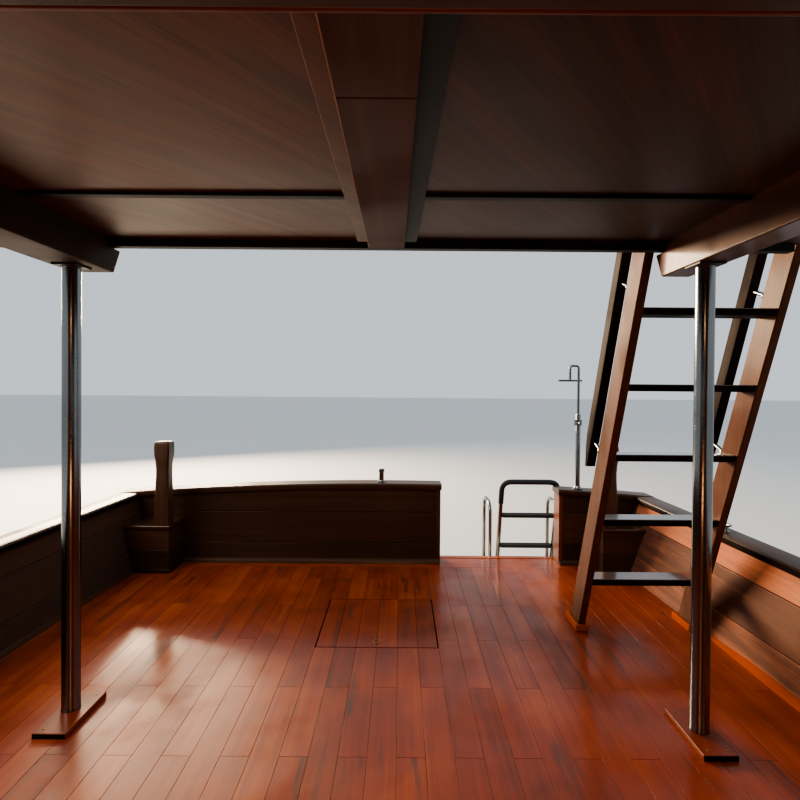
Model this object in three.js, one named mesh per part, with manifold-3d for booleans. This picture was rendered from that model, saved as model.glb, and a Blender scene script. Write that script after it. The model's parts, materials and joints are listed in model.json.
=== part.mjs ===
// Wooden two-deck motor boat about 15 m long, seen afloat, with a covered after deck.
// Millimetres. The origin is at the waterline amidships, +X to the bow, +Y to port, +Z up.
import * as THREE from 'three';
import { mergeVertices } from 'three/addons/utils/BufferGeometryUtils.js';
import Module from 'manifold-3d';

const wasm = await Module();
wasm.setup();

// Driving dimensions
const GAP = 0.3;
const PIN_PLAY = 0.5;
const STERN_X = -7550;
const STEM_WATER_X = 6950;
const STEM_RAKE_ABOVE = 0.36;
const STEM_RAKE_BELOW = 1.5;
const NOSE_HALF = 55;
const FLARE = 1.15;
const BILGE_FULLNESS = 2.4;
const BILGE_ROUND = 0.6;
const DECK_Z = 1000;
const HULL_TOP_Z = 720;
const CAP_Z = 1560;
const CAP_RISE = 990;
const CAP_RISE_START = -1000;
const CAP_RISE_RUN = 8900;
const CAP_THICK = 45;
const CAP_OVERHANG = 18;
const BULWARK_THICK = 120;
const FOREDECK_X = 2600;
const FOREDECK_Z = 1250;
const FOREDECK_SLOPE = 0.1;
const RAIL_HEIGHT = 110;
const RAIL_DEPTH = 45;
const RAIL_BELOW_CAP = 600;
const RAIL_SHEER_SHARE = 0.75;

// The after deck
const TRANSOM = { outer: -7500, inner: -7350, crown: 90, cornerHalf: 2050, capFrom: -7520, capTo: -7330 };
const GATE = { from: 433, to: 1405 };
const HATCH = { aft: -6570, fore: -5870, starboard: -360, port: 325, thick: 30, play: 5, ledge: 25 };
const POSTS = [
  { side: 'starboard', x: -5236, y: -1329, padFrom: -5375, padY: -1315 },
  { side: 'port', x: -5119, y: 1358, padFrom: -5272, padY: 1356 },
];
const POST_RADIUS = 38;
const POST_FLANGE = { length: 120, width: 110, thick: 8 };
const PAD = { length: 320, width: 138, thick: 22 };
const QUARTER_BOX = { aft: -7345, fore: -7060, inner: 1655, outer: 1955, height: 362 };
const BOLLARD = { x: -7122, y: 1718, half: 55, waist: 49, head: 59, height: 640 };

// The roof over the after deck, which is also the upper deck
const CEILING_Z = 3108;
const ROOF = { aft: -5400, fore: 2950, half: 2050, thick: 62, corner: 160 };
const ROOF_TOP_Z = CEILING_Z + ROOF.thick;
const TOE = { height: 60, thick: 40 };
const BEAM = { bottom: 2955, aftBottom: -5388, aftTop: -5448 };
const BEAM_FACES = [{ side: 'starboard', from: -1412, to: -1222 }, { side: 'port', from: 1300, to: 1430 }];
const CENTRE_BEAM = { aft: -5300, low: 3056, step: 3083 };
const CENTRE_EDGES = { outerStarboard: -94, lowStarboard: -43, lowPort: 137, outerPort: 201, portTaper: 0.16 };
const AFT_BEAM = { low: 3068, thick: 50 };

// The deckhouse
const HOUSE = { aft: -3668, aftThick: 60, fore: FOREDECK_X - GAP, half: 1600, thick: 50, foreThick: 55 };
const SCREEN = { foot: 2050, rake: Math.tan(THREE.MathUtils.degToRad(14)) };
const DOORWAY = { half: 900, head: 3023 };
const SIDE_DOOR = { aft: 1350, fore: 2000, sill: 1060, head: 2900, lap: 40, thick: 35, play: 6, travel: 700 };
const WINDOW = { sill: 1950, head: 2750 };
const WINDOW_SPANS = [[-3200, -2150], [-2000, -950], [-800, 250], [400, 1100]];
const SCREEN_SPANS = [[-1450, -520], [-440, 440], [520, 1450]];
const GLASS_THICK = 8;

// The companion ladder between the after deck and the upper deck
const LADDER = {
  footX: -6114, lean: Math.tan(THREE.MathUtils.degToRad(18)), list: { starboard: 0.0403, port: 0.0559 },
  innerY: 1207, innerWidth: 625, thick: 42, depth: 162, top: 3300,
  firstTread: 337, treadStep: 375, treads: 5, treadThick: 35, treadDepth: 132,
};
const HANDRAIL = { behind: 126, depth: 88, width: 50, from: 1980, to: 4000, bracketHeights: [2060, 2940] };

// The stern gear
const PLATFORM = { aft: -8300, top: 650, thick: 50, from: 440, to: 1990, ledger: 50 };
const SWIM_LADDER = { x: -7775, y: 1215, z: 860, half: 240, radius: 19, lean: 16, length: 806, rungs: [197, 492] };
const HOOP = { fore: -7800, aft: -8150, ys: { starboard: 915, port: 1520 }, top: 1400, radius: 16 };
const SHOWER = { x: -7425, y: 1574 };

// Under water
const SHAFT = { z: -630, boss: -5990, radius: 25 };
const PROPELLER = { x: -6090, radius: 270, hub: 48, blades: 4 };
const RUDDER = { x: -6620, top: -277, bladeTop: -330, bottom: -925, fore: 80, aft: 430, thick: 50 };
const KEEL = { half: 45, aft: -5950, heel: -6700, heelTop: -940, bottom: -1000, foreBottom: -740, foreX: 5500 };

// Half-breadths at the sheer and the waterline, and the hull's bottom, from the transom (0) to the stem (1)
const STATIONS = [
  { along: 0.00, sheer: 2150, water: 1980, keel: -200 },
  { along: 0.12, sheer: 2200, water: 2080, keel: -330 },
  { along: 0.30, sheer: 2260, water: 2180, keel: -560 },
  { along: 0.50, sheer: 2270, water: 2170, keel: -690 },
  { along: 0.65, sheer: 2200, water: 1960, keel: -710 },
  { along: 0.78, sheer: 1920, water: 1480, keel: -700 },
  { along: 0.88, sheer: 1420, water: 900, keel: -660 },
  { along: 0.95, sheer: 830, water: 420, keel: -610 },
  { along: 1.00, sheer: NOSE_HALF, water: NOSE_HALF, keel: -550 },
];
const BREASTHOOK_ALONG = 0.972;
const spread = (from, to, count) => Array.from({ length: count }, (_, i) => from + ((to - from) * i) / count);
const RINGS = [...spread(0, 0.6, 14), ...spread(0.6, 0.88, 11), ...spread(0.88, BREASTHOOK_ALONG, 6),
  ...spread(BREASTHOOK_ALONG, 1, 3), 1];

// Colours of the finishes
const FINISHES = {
  varnishedDeck: { color: 0x9a3a16, roughness: 0.2, metalness: 0 },
  darkVarnish: { color: 0x4a2010, roughness: 0.3, metalness: 0 },
  warmVarnish: { color: 0x8a4a26, roughness: 0.35, metalness: 0 },
  plywood: { color: 0x5e3018, roughness: 0.45, metalness: 0 },
  hullPaint: { color: 0xe9e4d8, roughness: 0.35, metalness: 0 },
  bottomPaint: { color: 0x5a1d18, roughness: 0.7, metalness: 0 },
  darkPaint: { color: 0x16201c, roughness: 0.5, metalness: 0 },
  stainless: { color: 0xc9ccce, roughness: 0.12, metalness: 1 },
  bronze: { color: 0xa9803f, roughness: 0.35, metalness: 1 },
  glass: { color: 0x9fb4b8, roughness: 0.05, metalness: 0 },
};
const materials = Object.fromEntries(
  Object.entries(FINISHES).map(([name, values]) => [name, new THREE.MeshStandardMaterial({ name, ...values })]),
);

// Solids and booleans
function solid(shape) {
  if (!shape.isBufferGeometry) return shape;
  const bare = shape.clone();
  bare.deleteAttribute('normal');
  bare.deleteAttribute('uv');
  const merged = mergeVertices(bare, 0.001);
  return new wasm.Manifold(new wasm.Mesh({
    numProp: 3,
    vertProperties: new Float32Array(merged.attributes.position.array),
    triVerts: new Uint32Array(merged.index.array),
  }));
}

function geometryOf(shape) {
  if (shape.isBufferGeometry) return shape;
  const mesh = shape.getMesh();
  const geometry = new THREE.BufferGeometry();
  geometry.setAttribute('position', new THREE.BufferAttribute(new Float32Array(mesh.vertProperties), 3));
  geometry.setIndex([...mesh.triVerts]);
  return geometry;
}

const join = (...shapes) => shapes.map(solid).reduce((whole, piece) => whole.add(piece));
const cut = (whole, ...tools) => tools.map(solid).reduce((rest, tool) => rest.subtract(tool), solid(whole));
const common = (a, b) => solid(a).intersect(solid(b));

// Plain shapes
function box(x0, x1, y0, y1, z0, z1) {
  const geometry = new THREE.BoxGeometry(x1 - x0, y1 - y0, z1 - z0);
  return geometry.translate((x0 + x1) / 2, (y0 + y1) / 2, (z0 + z1) / 2);
}

function outline(points) {
  return new THREE.Shape(points.map(([u, v]) => new THREE.Vector2(u, v)));
}

// An outline in X and Z, as thick as y0 to y1
function prismY(points, y0, y1) {
  const geometry = new THREE.ExtrudeGeometry(outline(points), { depth: y1 - y0, bevelEnabled: false });
  return geometry.rotateX(Math.PI / 2).translate(0, y1, 0);
}

// An outline in Y and Z, as long as x0 to x1
function prismX(points, x0, x1) {
  const geometry = new THREE.ExtrudeGeometry(outline(points), { depth: x1 - x0, bevelEnabled: false });
  const turn = new THREE.Matrix4().makeBasis(
    new THREE.Vector3(0, 1, 0), new THREE.Vector3(0, 0, 1), new THREE.Vector3(1, 0, 0),
  );
  return geometry.applyMatrix4(turn).translate(x0, 0, 0);
}

// An outline in X and Y, as high as z0 to z1
function prismZ(shape, z0, z1) {
  const geometry = new THREE.ExtrudeGeometry(shape, { depth: z1 - z0, bevelEnabled: false, curveSegments: 6 });
  return geometry.translate(0, 0, z0);
}

function roundedRectangle(x0, x1, y0, y1, radius) {
  const shape = new THREE.Shape();
  shape.moveTo(x0 + radius, y0);
  shape.lineTo(x1 - radius, y0).absarc(x1 - radius, y0 + radius, radius, -Math.PI / 2, 0);
  shape.lineTo(x1, y1 - radius).absarc(x1 - radius, y1 - radius, radius, 0, Math.PI / 2);
  shape.lineTo(x0 + radius, y1).absarc(x0 + radius, y1 - radius, radius, Math.PI / 2, Math.PI);
  shape.lineTo(x0, y0 + radius).absarc(x0 + radius, y0 + radius, radius, Math.PI, Math.PI * 1.5);
  return shape;
}

function rod(from, to, radius, sides = 12) {
  const start = new THREE.Vector3(...from);
  const end = new THREE.Vector3(...to);
  const along = end.clone().sub(start);
  const geometry = new THREE.CylinderGeometry(radius, radius, along.length(), sides);
  const turn = new THREE.Quaternion().setFromUnitVectors(new THREE.Vector3(0, 1, 0), along.clone().normalize());
  const middle = start.add(end).multiplyScalar(0.5);
  return geometry.applyQuaternion(turn).translate(middle.x, middle.y, middle.z);
}

// A round tube through corner points, with each corner bent to a radius
function bentTube(corners, bend, radius, sides = 10, steps = 40) {
  const points = corners.map((corner) => new THREE.Vector3(...corner));
  const path = new THREE.CurvePath();
  let start = points[0];
  for (let i = 1; i < points.length - 1; i += 1) {
    const before = points[i].clone().add(points[i - 1].clone().sub(points[i]).setLength(bend));
    const after = points[i].clone().add(points[i + 1].clone().sub(points[i]).setLength(bend));
    path.add(new THREE.LineCurve3(start, before));
    path.add(new THREE.QuadraticBezierCurve3(before, points[i], after));
    start = after;
  }
  path.add(new THREE.LineCurve3(start, points.at(-1)));
  const section = new THREE.Shape();
  for (let i = 0; i < sides; i += 1) {
    const angle = (i / sides) * Math.PI * 2;
    const place = [radius * Math.cos(angle), radius * Math.sin(angle)];
    if (i === 0) section.moveTo(...place);
    else section.lineTo(...place);
  }
  return new THREE.ExtrudeGeometry(section, { steps, bevelEnabled: false, extrudePath: path });
}

// A closed solid through rings of equal count, each ring symmetric end to end
function loft(rings) {
  const count = rings[0].length;
  const positions = rings.flat().flatMap((point) => [point.x, point.y, point.z]);
  const index = [];
  const quad = (a, b, c, d) => index.push(a, b, c, a, c, d);
  for (let i = 0; i < rings.length - 1; i += 1) {
    for (let k = 0; k < count; k += 1) {
      const next = (k + 1) % count;
      quad(i * count + k, i * count + next, (i + 1) * count + next, (i + 1) * count + k);
    }
  }
  const last = (rings.length - 1) * count;
  for (let k = 0; k < count / 2 - 1; k += 1) {
    quad(k + 1, k, count - 1 - k, count - 2 - k);
    quad(last + k, last + k + 1, last + count - 2 - k, last + count - 1 - k);
  }
  const geometry = new THREE.BufferGeometry();
  geometry.setAttribute('position', new THREE.BufferAttribute(new Float32Array(positions), 3));
  geometry.setIndex(volumeOf(positions, index) < 0 ? index.reverse() : index);
  return geometry;
}

function volumeOf(positions, index) {
  const corner = (i) => new THREE.Vector3().fromArray(positions, index[i] * 3);
  let volume = 0;
  for (let i = 0; i < index.length; i += 3) {
    volume += corner(i).dot(corner(i + 1).cross(corner(i + 2))) / 6;
  }
  return volume;
}

// The hull's form
const stationCurve = new THREE.CubicInterpolant(
  STATIONS.map((row) => row.along),
  STATIONS.flatMap((row) => [row.sheer, row.water, row.keel]),
  3,
);

function stationAt(along) {
  const [sheer, water, keel] = stationCurve.evaluate(THREE.MathUtils.clamp(along, 0, 1));
  return { sheer, water, keel };
}

const stemX = (z) => STEM_WATER_X + z * (z > 0 ? STEM_RAKE_ABOVE : STEM_RAKE_BELOW);
const capTop = (x) => CAP_Z + CAP_RISE * (Math.max(0, x - CAP_RISE_START) / CAP_RISE_RUN) ** 2;
const capBottom = (x) => capTop(x) - CAP_THICK;
const railTop = (x) => CAP_Z - RAIL_BELOW_CAP + RAIL_SHEER_SHARE * (capTop(x) - CAP_Z);
const railBottom = (x) => railTop(x) - RAIL_HEIGHT;
const foredeckAt = (x) => FOREDECK_Z + FOREDECK_SLOPE * (x - FOREDECK_X);

function halfBreadth(x, z) {
  const { sheer, water, keel } = stationAt((x - STERN_X) / (stemX(z) - STERN_X));
  if (z >= 0) return water + (sheer - water) * (z / capTop(x)) ** FLARE;
  const depth = Math.min(1, z / keel);
  return NOSE_HALF + (water - NOSE_HALF) * (1 - depth ** BILGE_FULLNESS) ** BILGE_ROUND;
}

// The port side's point on a station at a level, which may follow the sheer
function sidePoint(along, level) {
  let x = STERN_X;
  let z = 0;
  for (let i = 0; i < 6; i += 1) {
    z = typeof level === 'function' ? level(x) : level;
    x = STERN_X + along * (stemX(z) - STERN_X);
  }
  return new THREE.Vector3(x, halfBreadth(x, z), z);
}

const moved = (point, dy, dz = 0) => new THREE.Vector3(point.x, point.y + dy, point.z + dz);

function mirrored(geometry) {
  const copy = geometry.clone().scale(1, -1, 1);
  copy.setIndex([...copy.index.array].reverse());
  return copy;
}

// The port half of a section from its levels, closed along the centreline
function halfRing(along, levels) {
  const side = levels.map((level) => sidePoint(along, level));
  return [...side, ...side.map((point) => new THREE.Vector3(point.x, 0, point.z)).reverse()];
}

function bothHalves(alongs, levelsAt) {
  const port = loft(alongs.map((along) => halfRing(along, levelsAt(along))));
  return join(port, mirrored(port));
}

const BOTTOM_SHARES = [1, 0.94, 0.8, 0.56, 0.28];
const fullHull = bothHalves(RINGS, (along) => [
  ...BOTTOM_SHARES.map((share) => share * stationAt(along).keel), 0, 480, railBottom, railTop, capBottom,
]);
const BEYOND = 9500;
const deckLine = (aftZ, lift) => [
  [-BEYOND, aftZ + lift], [FOREDECK_X - lift, aftZ + lift], [FOREDECK_X - lift, FOREDECK_Z + lift],
  [BEYOND, foredeckAt(BEYOND) + lift],
];
const belowDecks = prismY([[-BEYOND, 0], ...deckLine(DECK_Z, GAP), [BEYOND, 0]], -BEYOND, BEYOND);

// The assembly
const boat = new THREE.Group();
boat.name = 'motor_boat';

function add(name, finish, shape, place = {}) {
  const mesh = new THREE.Mesh(geometryOf(shape), materials[finish]);
  mesh.name = name;
  mesh.position.set(...(place.position ?? [0, 0, 0]));
  mesh.rotation.set(...(place.rotation ?? [0, 0, 0]));
  (place.group ?? boat).add(mesh);
  return mesh;
}

const SIDES = [{ side: 'starboard', sign: -1 }, { side: 'port', sign: 1 }];
const onSide = (sign, inner, outer) => (sign > 0 ? [inner, outer] : [-outer, -inner]);

// Hull and decks
function hull() {
  const above = [...deckLine(HULL_TOP_Z, 0), [BEYOND, BEYOND], [-BEYOND, BEYOND]];
  add('hull', 'hullPaint', cut(fullHull, prismY(above, -BEYOND, BEYOND)));
}

function decks() {
  const slab = (x0, x1) => common(fullHull, box(x0, x1, -BEYOND, BEYOND, HULL_TOP_Z + GAP, DECK_Z));
  const { aft, fore, starboard, port, thick, ledge } = HATCH;
  const rebate = box(aft, fore, starboard, port, DECK_Z - thick - GAP, DECK_Z + 1);
  const locker = box(aft + ledge, fore - ledge, starboard + ledge, port - ledge, HULL_TOP_Z - 1, DECK_Z);
  add('aft_deck', 'varnishedDeck', cut(slab(-BEYOND, HOUSE.aft), rebate, locker));
  add('house_sole', 'varnishedDeck', slab(HOUSE.aft + GAP, FOREDECK_X - GAP));
}

function aftHatchLid() {
  const { aft, fore, starboard, port, thick, play } = HATCH;
  const size = [fore - aft - 2 * play, port - starboard - 2 * play, thick];
  const centre = [(aft + fore) / 2, (starboard + port) / 2, DECK_Z - thick / 2];
  add('aft_hatch_lid', 'varnishedDeck', new THREE.BoxGeometry(...size), { position: centre });
}

const UNDER_DECK = DECK_Z - 100;

function bulwarks() {
  const rings = RINGS.filter((along) => along <= BREASTHOOK_ALONG);
  const capRings = [(TRANSOM.capTo + 5 - STERN_X) / (stemX(CAP_Z) - STERN_X), ...rings.slice(1)];
  const face = (along, level, dy, dz) => moved(sidePoint(along, level), dy, dz);
  const lining = -BULWARK_THICK;
  const wallLevels = [railBottom, railTop, capBottom];
  const wall = loft(rings.map((along) => [
    ...wallLevels.map((level) => face(along, level, lining)),
    ...wallLevels.map((level) => face(along, level, 0)).reverse(),
  ]));
  const cap = loft(capRings.map((along) => [
    face(along, capBottom, lining - CAP_OVERHANG, GAP), face(along, capTop, lining - CAP_OVERHANG),
    face(along, capTop, CAP_OVERHANG), face(along, capBottom, CAP_OVERHANG, GAP),
  ]));
  const strake = loft(RINGS.slice(0, -1).map((along) => [
    face(along, railBottom, 0.5), face(along, railTop, 0.5),
    face(along, railTop, RAIL_DEPTH), face(along, railBottom, RAIL_DEPTH),
  ]));
  for (const { side, sign } of SIDES) {
    const onThisSide = (geometry) => (sign > 0 ? geometry : mirrored(geometry));
    add(`bulwark_${side}`, 'darkVarnish', cut(onThisSide(wall), belowDecks));
    add(`cap_rail_${side}`, 'darkVarnish', onThisSide(cap));
    add(`rub_rail_${side}`, 'darkPaint', onThisSide(strake));
  }
}

function breasthook() {
  const head = bothHalves([BREASTHOOK_ALONG + 0.0001, ...RINGS.slice(-3)], () => [UNDER_DECK, capBottom, capTop]);
  add('breasthook', 'darkVarnish', cut(head, belowDecks));
}

const transomTop = (y) => CAP_Z + TRANSOM.crown - 80 * (y / TRANSOM.cornerHalf) ** 2;

function crownPoints(y0, y1, drop) {
  const steps = Math.ceil(Math.abs(y1 - y0) / 200);
  return Array.from({ length: steps + 1 }, (_, i) => {
    const y = y0 + ((y1 - y0) * i) / steps;
    return [y, transomTop(y) - drop];
  });
}

function transomPiece(name, gateY, sign) {
  const innerAt = (z) => sign * (halfBreadth(TRANSOM.outer, z) - BULWARK_THICK - 3);
  const top = crownPoints(gateY, innerAt(CAP_Z - CAP_THICK), CAP_THICK - 5);
  const board = prismX([[gateY, DECK_Z + GAP], ...top, [innerAt(DECK_Z), DECK_Z + GAP]], TRANSOM.outer, TRANSOM.inner);
  const outer = sign * (halfBreadth(STERN_X, CAP_Z) + CAP_OVERHANG);
  const capEdge = gateY + (gateY > outer ? 8 : -8);
  const capLine = [...crownPoints(capEdge, outer, CAP_THICK - 1), ...crownPoints(capEdge, outer, 0).reverse()];
  add(name, 'darkVarnish', join(board, prismX(capLine, TRANSOM.capFrom, TRANSOM.capTo)));
}

// After deck fittings
function quarterBoxes() {
  for (const { side, sign } of SIDES) {
    const [y0, y1] = onSide(sign, QUARTER_BOX.inner, QUARTER_BOX.outer);
    const top = DECK_Z + QUARTER_BOX.height;
    add(`quarter_box_${side}`, 'darkVarnish', box(QUARTER_BOX.aft, QUARTER_BOX.fore, y0, y1, DECK_Z + GAP, top));
    const { half, waist, head, height } = BOLLARD;
    const edge = [[half, GAP], [half, 200], [waist, 400], [head, 540], [head, height - 14], [head - 12, height]];
    const profile = [...edge, ...edge.map(([u, v]) => [-u, v]).reverse()];
    const post = common(prismY(profile, -head, head), prismX(profile, -head, head));
    add(`bollard_${side}`, 'darkVarnish', post, { position: [BOLLARD.x, sign * BOLLARD.y, top] });
  }
}

function roofPosts() {
  const { length, width, thick } = POST_FLANGE;
  for (const { side, x, y, padFrom, padY } of POSTS) {
    const padTop = DECK_Z + PAD.thick;
    const padSides = [padY - PAD.width / 2, padY + PAD.width / 2];
    add(`post_pad_${side}`, 'warmVarnish', box(padFrom, padFrom + PAD.length, ...padSides, DECK_Z + GAP, padTop));
    const tube = rod([0, 0, padTop + GAP], [0, 0, BEAM.bottom - 6], POST_RADIUS, 28);
    const flangeFoot = BEAM.bottom - thick;
    const flange = box(-length / 2, length / 2, -width / 2, width / 2, flangeFoot, BEAM.bottom - GAP);
    add(`roof_post_${side}`, 'stainless', join(tube, flange), { position: [x, y, 0] });
  }
}

// The port edges come closer to the middle towards the stern
function narrowedAft(geometry, aft, fore, taper) {
  const place = geometry.attributes.position;
  for (let i = 0; i < place.count; i += 1) {
    const share = (fore - place.getX(i)) / (fore - aft);
    const y = place.getY(i);
    place.setY(i, y > 0 ? y * (1 - taper * share) : y);
  }
  return geometry;
}

// Roof and its beams
function roof() {
  const slab = roundedRectangle(ROOF.aft, ROOF.fore, -ROOF.half, ROOF.half, ROOF.corner);
  const reach = ROOF.half - ROOF.corner;
  const aftEdge = box(ROOF.aft, ROOF.aft + AFT_BEAM.thick, -reach, reach, AFT_BEAM.low, CEILING_Z + 5);
  const toe = (x0, x1, y0, y1) => box(x0, x1, y0, y1, ROOF_TOP_Z - 5, ROOF_TOP_Z + TOE.height);
  const toeRails = [
    toe(ROOF.aft + ROOF.corner, ROOF.fore - ROOF.corner, ROOF.half - TOE.thick, ROOF.half),
    toe(ROOF.aft + ROOF.corner, ROOF.fore - ROOF.corner, -ROOF.half, TOE.thick - ROOF.half),
    toe(ROOF.fore - TOE.thick, ROOF.fore, -reach, reach),
    toe(ROOF.aft, ROOF.aft + TOE.thick, -reach, LADDER.innerY - 100),
  ];
  add('upper_deck', 'plywood', join(prismZ(slab, CEILING_Z, ROOF_TOP_Z), aftEdge, ...toeRails));
  const under = CEILING_Z - GAP;
  const notch = ROOF.aft + AFT_BEAM.thick + GAP;
  const profile = [
    [HOUSE.aft - GAP, BEAM.bottom], [HOUSE.aft - GAP, under], [notch, under], [notch, AFT_BEAM.low - GAP],
    [BEAM.aftTop, AFT_BEAM.low - GAP], [BEAM.aftBottom, BEAM.bottom],
  ];
  for (const { side, from, to } of BEAM_FACES) add(`side_beam_${side}`, 'warmVarnish', prismY(profile, from, to));
  const { low, step } = CENTRE_BEAM;
  const { outerStarboard, lowStarboard, lowPort, outerPort, portTaper } = CENTRE_EDGES;
  const centre = [
    [lowStarboard, low], [lowPort, low], [lowPort, step], [outerPort, step], [outerPort, under],
    [outerStarboard, under], [outerStarboard, step], [lowStarboard, step],
  ];
  const beam = prismX(centre, CENTRE_BEAM.aft, HOUSE.aft - GAP);
  add('centre_beam', 'darkPaint', narrowedAft(beam, CENTRE_BEAM.aft, HOUSE.aft, portTaper));
}

// Guard rails of the upper deck, in straight runs
const GUARD = { height: 900, inset: 90, postGap: 1250 };

function guardRail(name, from, to) {
  const start = new THREE.Vector3(...from, ROOF_TOP_Z + GAP);
  const end = new THREE.Vector3(...to, ROOF_TOP_Z + GAP);
  const spans = Math.max(1, Math.round(start.distanceTo(end) / GUARD.postGap));
  const shapes = [];
  for (let i = 0; i <= spans; i += 1) {
    const foot = start.clone().lerp(end, i / spans);
    shapes.push(rod([foot.x, foot.y, foot.z], [foot.x, foot.y, foot.z + GUARD.height], 16, 8));
  }
  for (const [level, radius] of [[GUARD.height, 20], [GUARD.height * 0.62, 12], [GUARD.height * 0.32, 12]]) {
    shapes.push(rod([start.x, start.y, start.z + level], [end.x, end.y, end.z + level], radius, 8));
  }
  add(name, 'stainless', join(...shapes));
}

function guardRails() {
  const y = ROOF.half - GUARD.inset;
  const aft = ROOF.aft + GUARD.inset;
  const fore = ROOF.fore - GUARD.inset;
  guardRail('guard_rail_port', [aft + 60, y], [fore - 60, y]);
  guardRail('guard_rail_starboard', [aft + 60, -y], [fore - 60, -y]);
  guardRail('guard_rail_aft', [aft, -y + 60], [aft, LADDER.innerY - 100]);
  guardRail('guard_rail_fore', [fore, -y + 60], [fore, y - 60]);
}

function mast() {
  const x = 1900;
  const top = 4950;
  const base = box(-110, 110, -110, 110, ROOF_TOP_Z + GAP, ROOF_TOP_Z + 30);
  const pole = new THREE.CylinderGeometry(34, 48, top - ROOF_TOP_Z - 20, 16).rotateX(Math.PI / 2);
  pole.translate(0, 0, (top + ROOF_TOP_Z + 20) / 2);
  const arm = rod([0, -380, 4520], [0, 380, 4520], 20, 10);
  const lamp = new THREE.CylinderGeometry(42, 42, 112, 16).rotateX(Math.PI / 2).translate(0, 0, top + 55);
  add('mast', 'stainless', join(base, pole, arm, lamp), { position: [x, 0, 0] });
}

// Deckhouse
const screenX = (z) => HOUSE.fore - SCREEN.rake * Math.max(0, z - SCREEN.foot);

function houseSides() {
  const foot = DECK_Z + GAP;
  const top = CEILING_Z - GAP;
  const fore = (z) => screenX(z) - HOUSE.foreThick - GAP;
  const aft = HOUSE.aft + HOUSE.aftThick + GAP;
  const profile = [[aft, foot], [fore(foot), foot], [fore(foot), SCREEN.foot], [fore(top), top], [aft, top]];
  for (const { side, sign } of SIDES) {
    const [y0, y1] = onSide(sign, HOUSE.half - HOUSE.thick, HOUSE.half);
    const [cut0, cut1] = onSide(sign, HOUSE.half - 2 * HOUSE.thick, HOUSE.half + HOUSE.thick);
    const holes = WINDOW_SPANS.map(([x0, x1]) => box(x0, x1, cut0, cut1, WINDOW.sill, WINDOW.head));
    holes.push(box(SIDE_DOOR.aft, SIDE_DOOR.fore, cut0, cut1, SIDE_DOOR.sill, SIDE_DOOR.head));
    const [track0, track1] = onSide(sign, HOUSE.half - 5, HOUSE.half + SIDE_DOOR.play + SIDE_DOOR.thick + 4);
    const trackAft = SIDE_DOOR.aft - SIDE_DOOR.lap - SIDE_DOOR.travel - 30;
    const trackFore = SIDE_DOOR.fore + SIDE_DOOR.lap + 30;
    const sillTrack = box(trackAft, trackFore, track0, track1, foot, SIDE_DOOR.sill - 20);
    const headTrack = box(trackAft, trackFore, track0, track1, SIDE_DOOR.head + 20, SIDE_DOOR.head + 60);
    add(`house_side_${side}`, 'warmVarnish', join(cut(prismY(profile, y0, y1), ...holes), sillTrack, headTrack));
    const [glass0, glass1] = onSide(
      sign, HOUSE.half - HOUSE.thick - GLASS_THICK - GAP, HOUSE.half - HOUSE.thick - GAP,
    );
    const glassX = [WINDOW_SPANS[0][0] - 40, WINDOW_SPANS.at(-1)[1] + 40];
    add(`side_glass_${side}`, 'glass', box(...glassX, glass0, glass1, WINDOW.sill - 40, WINDOW.head + 40));
  }
}

function sideDoors() {
  const { aft, fore, sill, head, lap, thick, play } = SIDE_DOOR;
  for (const { side, sign } of SIDES) {
    const length = fore - aft + 2 * lap;
    const z0 = sill - 20 + 0.8;
    const z1 = head + 20 - play;
    const panel = box(-length / 2, length / 2, -thick / 2, thick / 2, z0, z1);
    const pane = box(-230, 230, -thick, thick, 1950, 2700);
    const y = sign * (HOUSE.half + play + thick / 2);
    add(`side_door_${side}`, 'warmVarnish', cut(panel, pane), { position: [(aft + fore) / 2, y, 0] });
  }
}

function houseEnds() {
  const foot = DECK_Z + GAP;
  const top = CEILING_Z - GAP;
  const { aft, aftThick, half, foreThick } = HOUSE;
  const wall = box(aft, aft + aftThick, -half, half, foot, top);
  const doorway = box(aft - 50, aft + aftThick + 50, -DOORWAY.half, DOORWAY.half, foot - 50, DOORWAY.head);
  add('house_aft', 'darkVarnish', cut(wall, doorway));
  const slant = (offset, z0, z1) => [
    [screenX(z0) - offset, z0], [screenX(z1) - offset, z1],
  ];
  const front = [
    [HOUSE.fore, foot], ...slant(0, SCREEN.foot, top), ...slant(foreThick, SCREEN.foot, top).reverse(),
    [HOUSE.fore - foreThick, foot],
  ];
  const holes = SCREEN_SPANS.map(([y0, y1]) => box(2000, 3000, y0, y1, 2120, 2980));
  add('house_front', 'warmVarnish', cut(prismY(front, -half, half), ...holes));
  const behind = foreThick + GAP * 1.1;
  const pane = [...slant(behind, 2080, 3020), ...slant(behind + GLASS_THICK, 2080, 3020).reverse()];
  add('windscreen', 'glass', prismY(pane, -half + 70, half - 70));
}

// Inside the deckhouse
const HELM = { x: 1750, y: -750, z: 1720, rim: 215 };

function helm() {
  const foot = DECK_Z + GAP;
  const desk = [[HELM.x, foot], [HELM.x + 480, foot], [HELM.x + 480, 1990], [HELM.x + 330, 2010], [HELM.x, 1930]];
  add('helm_console', 'warmVarnish', prismY(desk, HELM.y - 400, HELM.y + 400));
  const rim = new THREE.TorusGeometry(HELM.rim, 15, 8, 32).rotateY(Math.PI / 2);
  const hub = rod([-30, 0, 0], [70 - PIN_PLAY, 0, 0], 32, 16);
  const spokes = [0, 60, 120].map((angle) => {
    const turn = THREE.MathUtils.degToRad(angle);
    const reach = HELM.rim + 60;
    const tip = [0, reach * Math.cos(turn), reach * Math.sin(turn)];
    return rod(tip, tip.map((value) => -value), 10, 8);
  });
  add('helm_wheel', 'darkVarnish', join(rim, hub, ...spokes), { position: [HELM.x - 70, HELM.y, HELM.z] });
}

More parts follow.
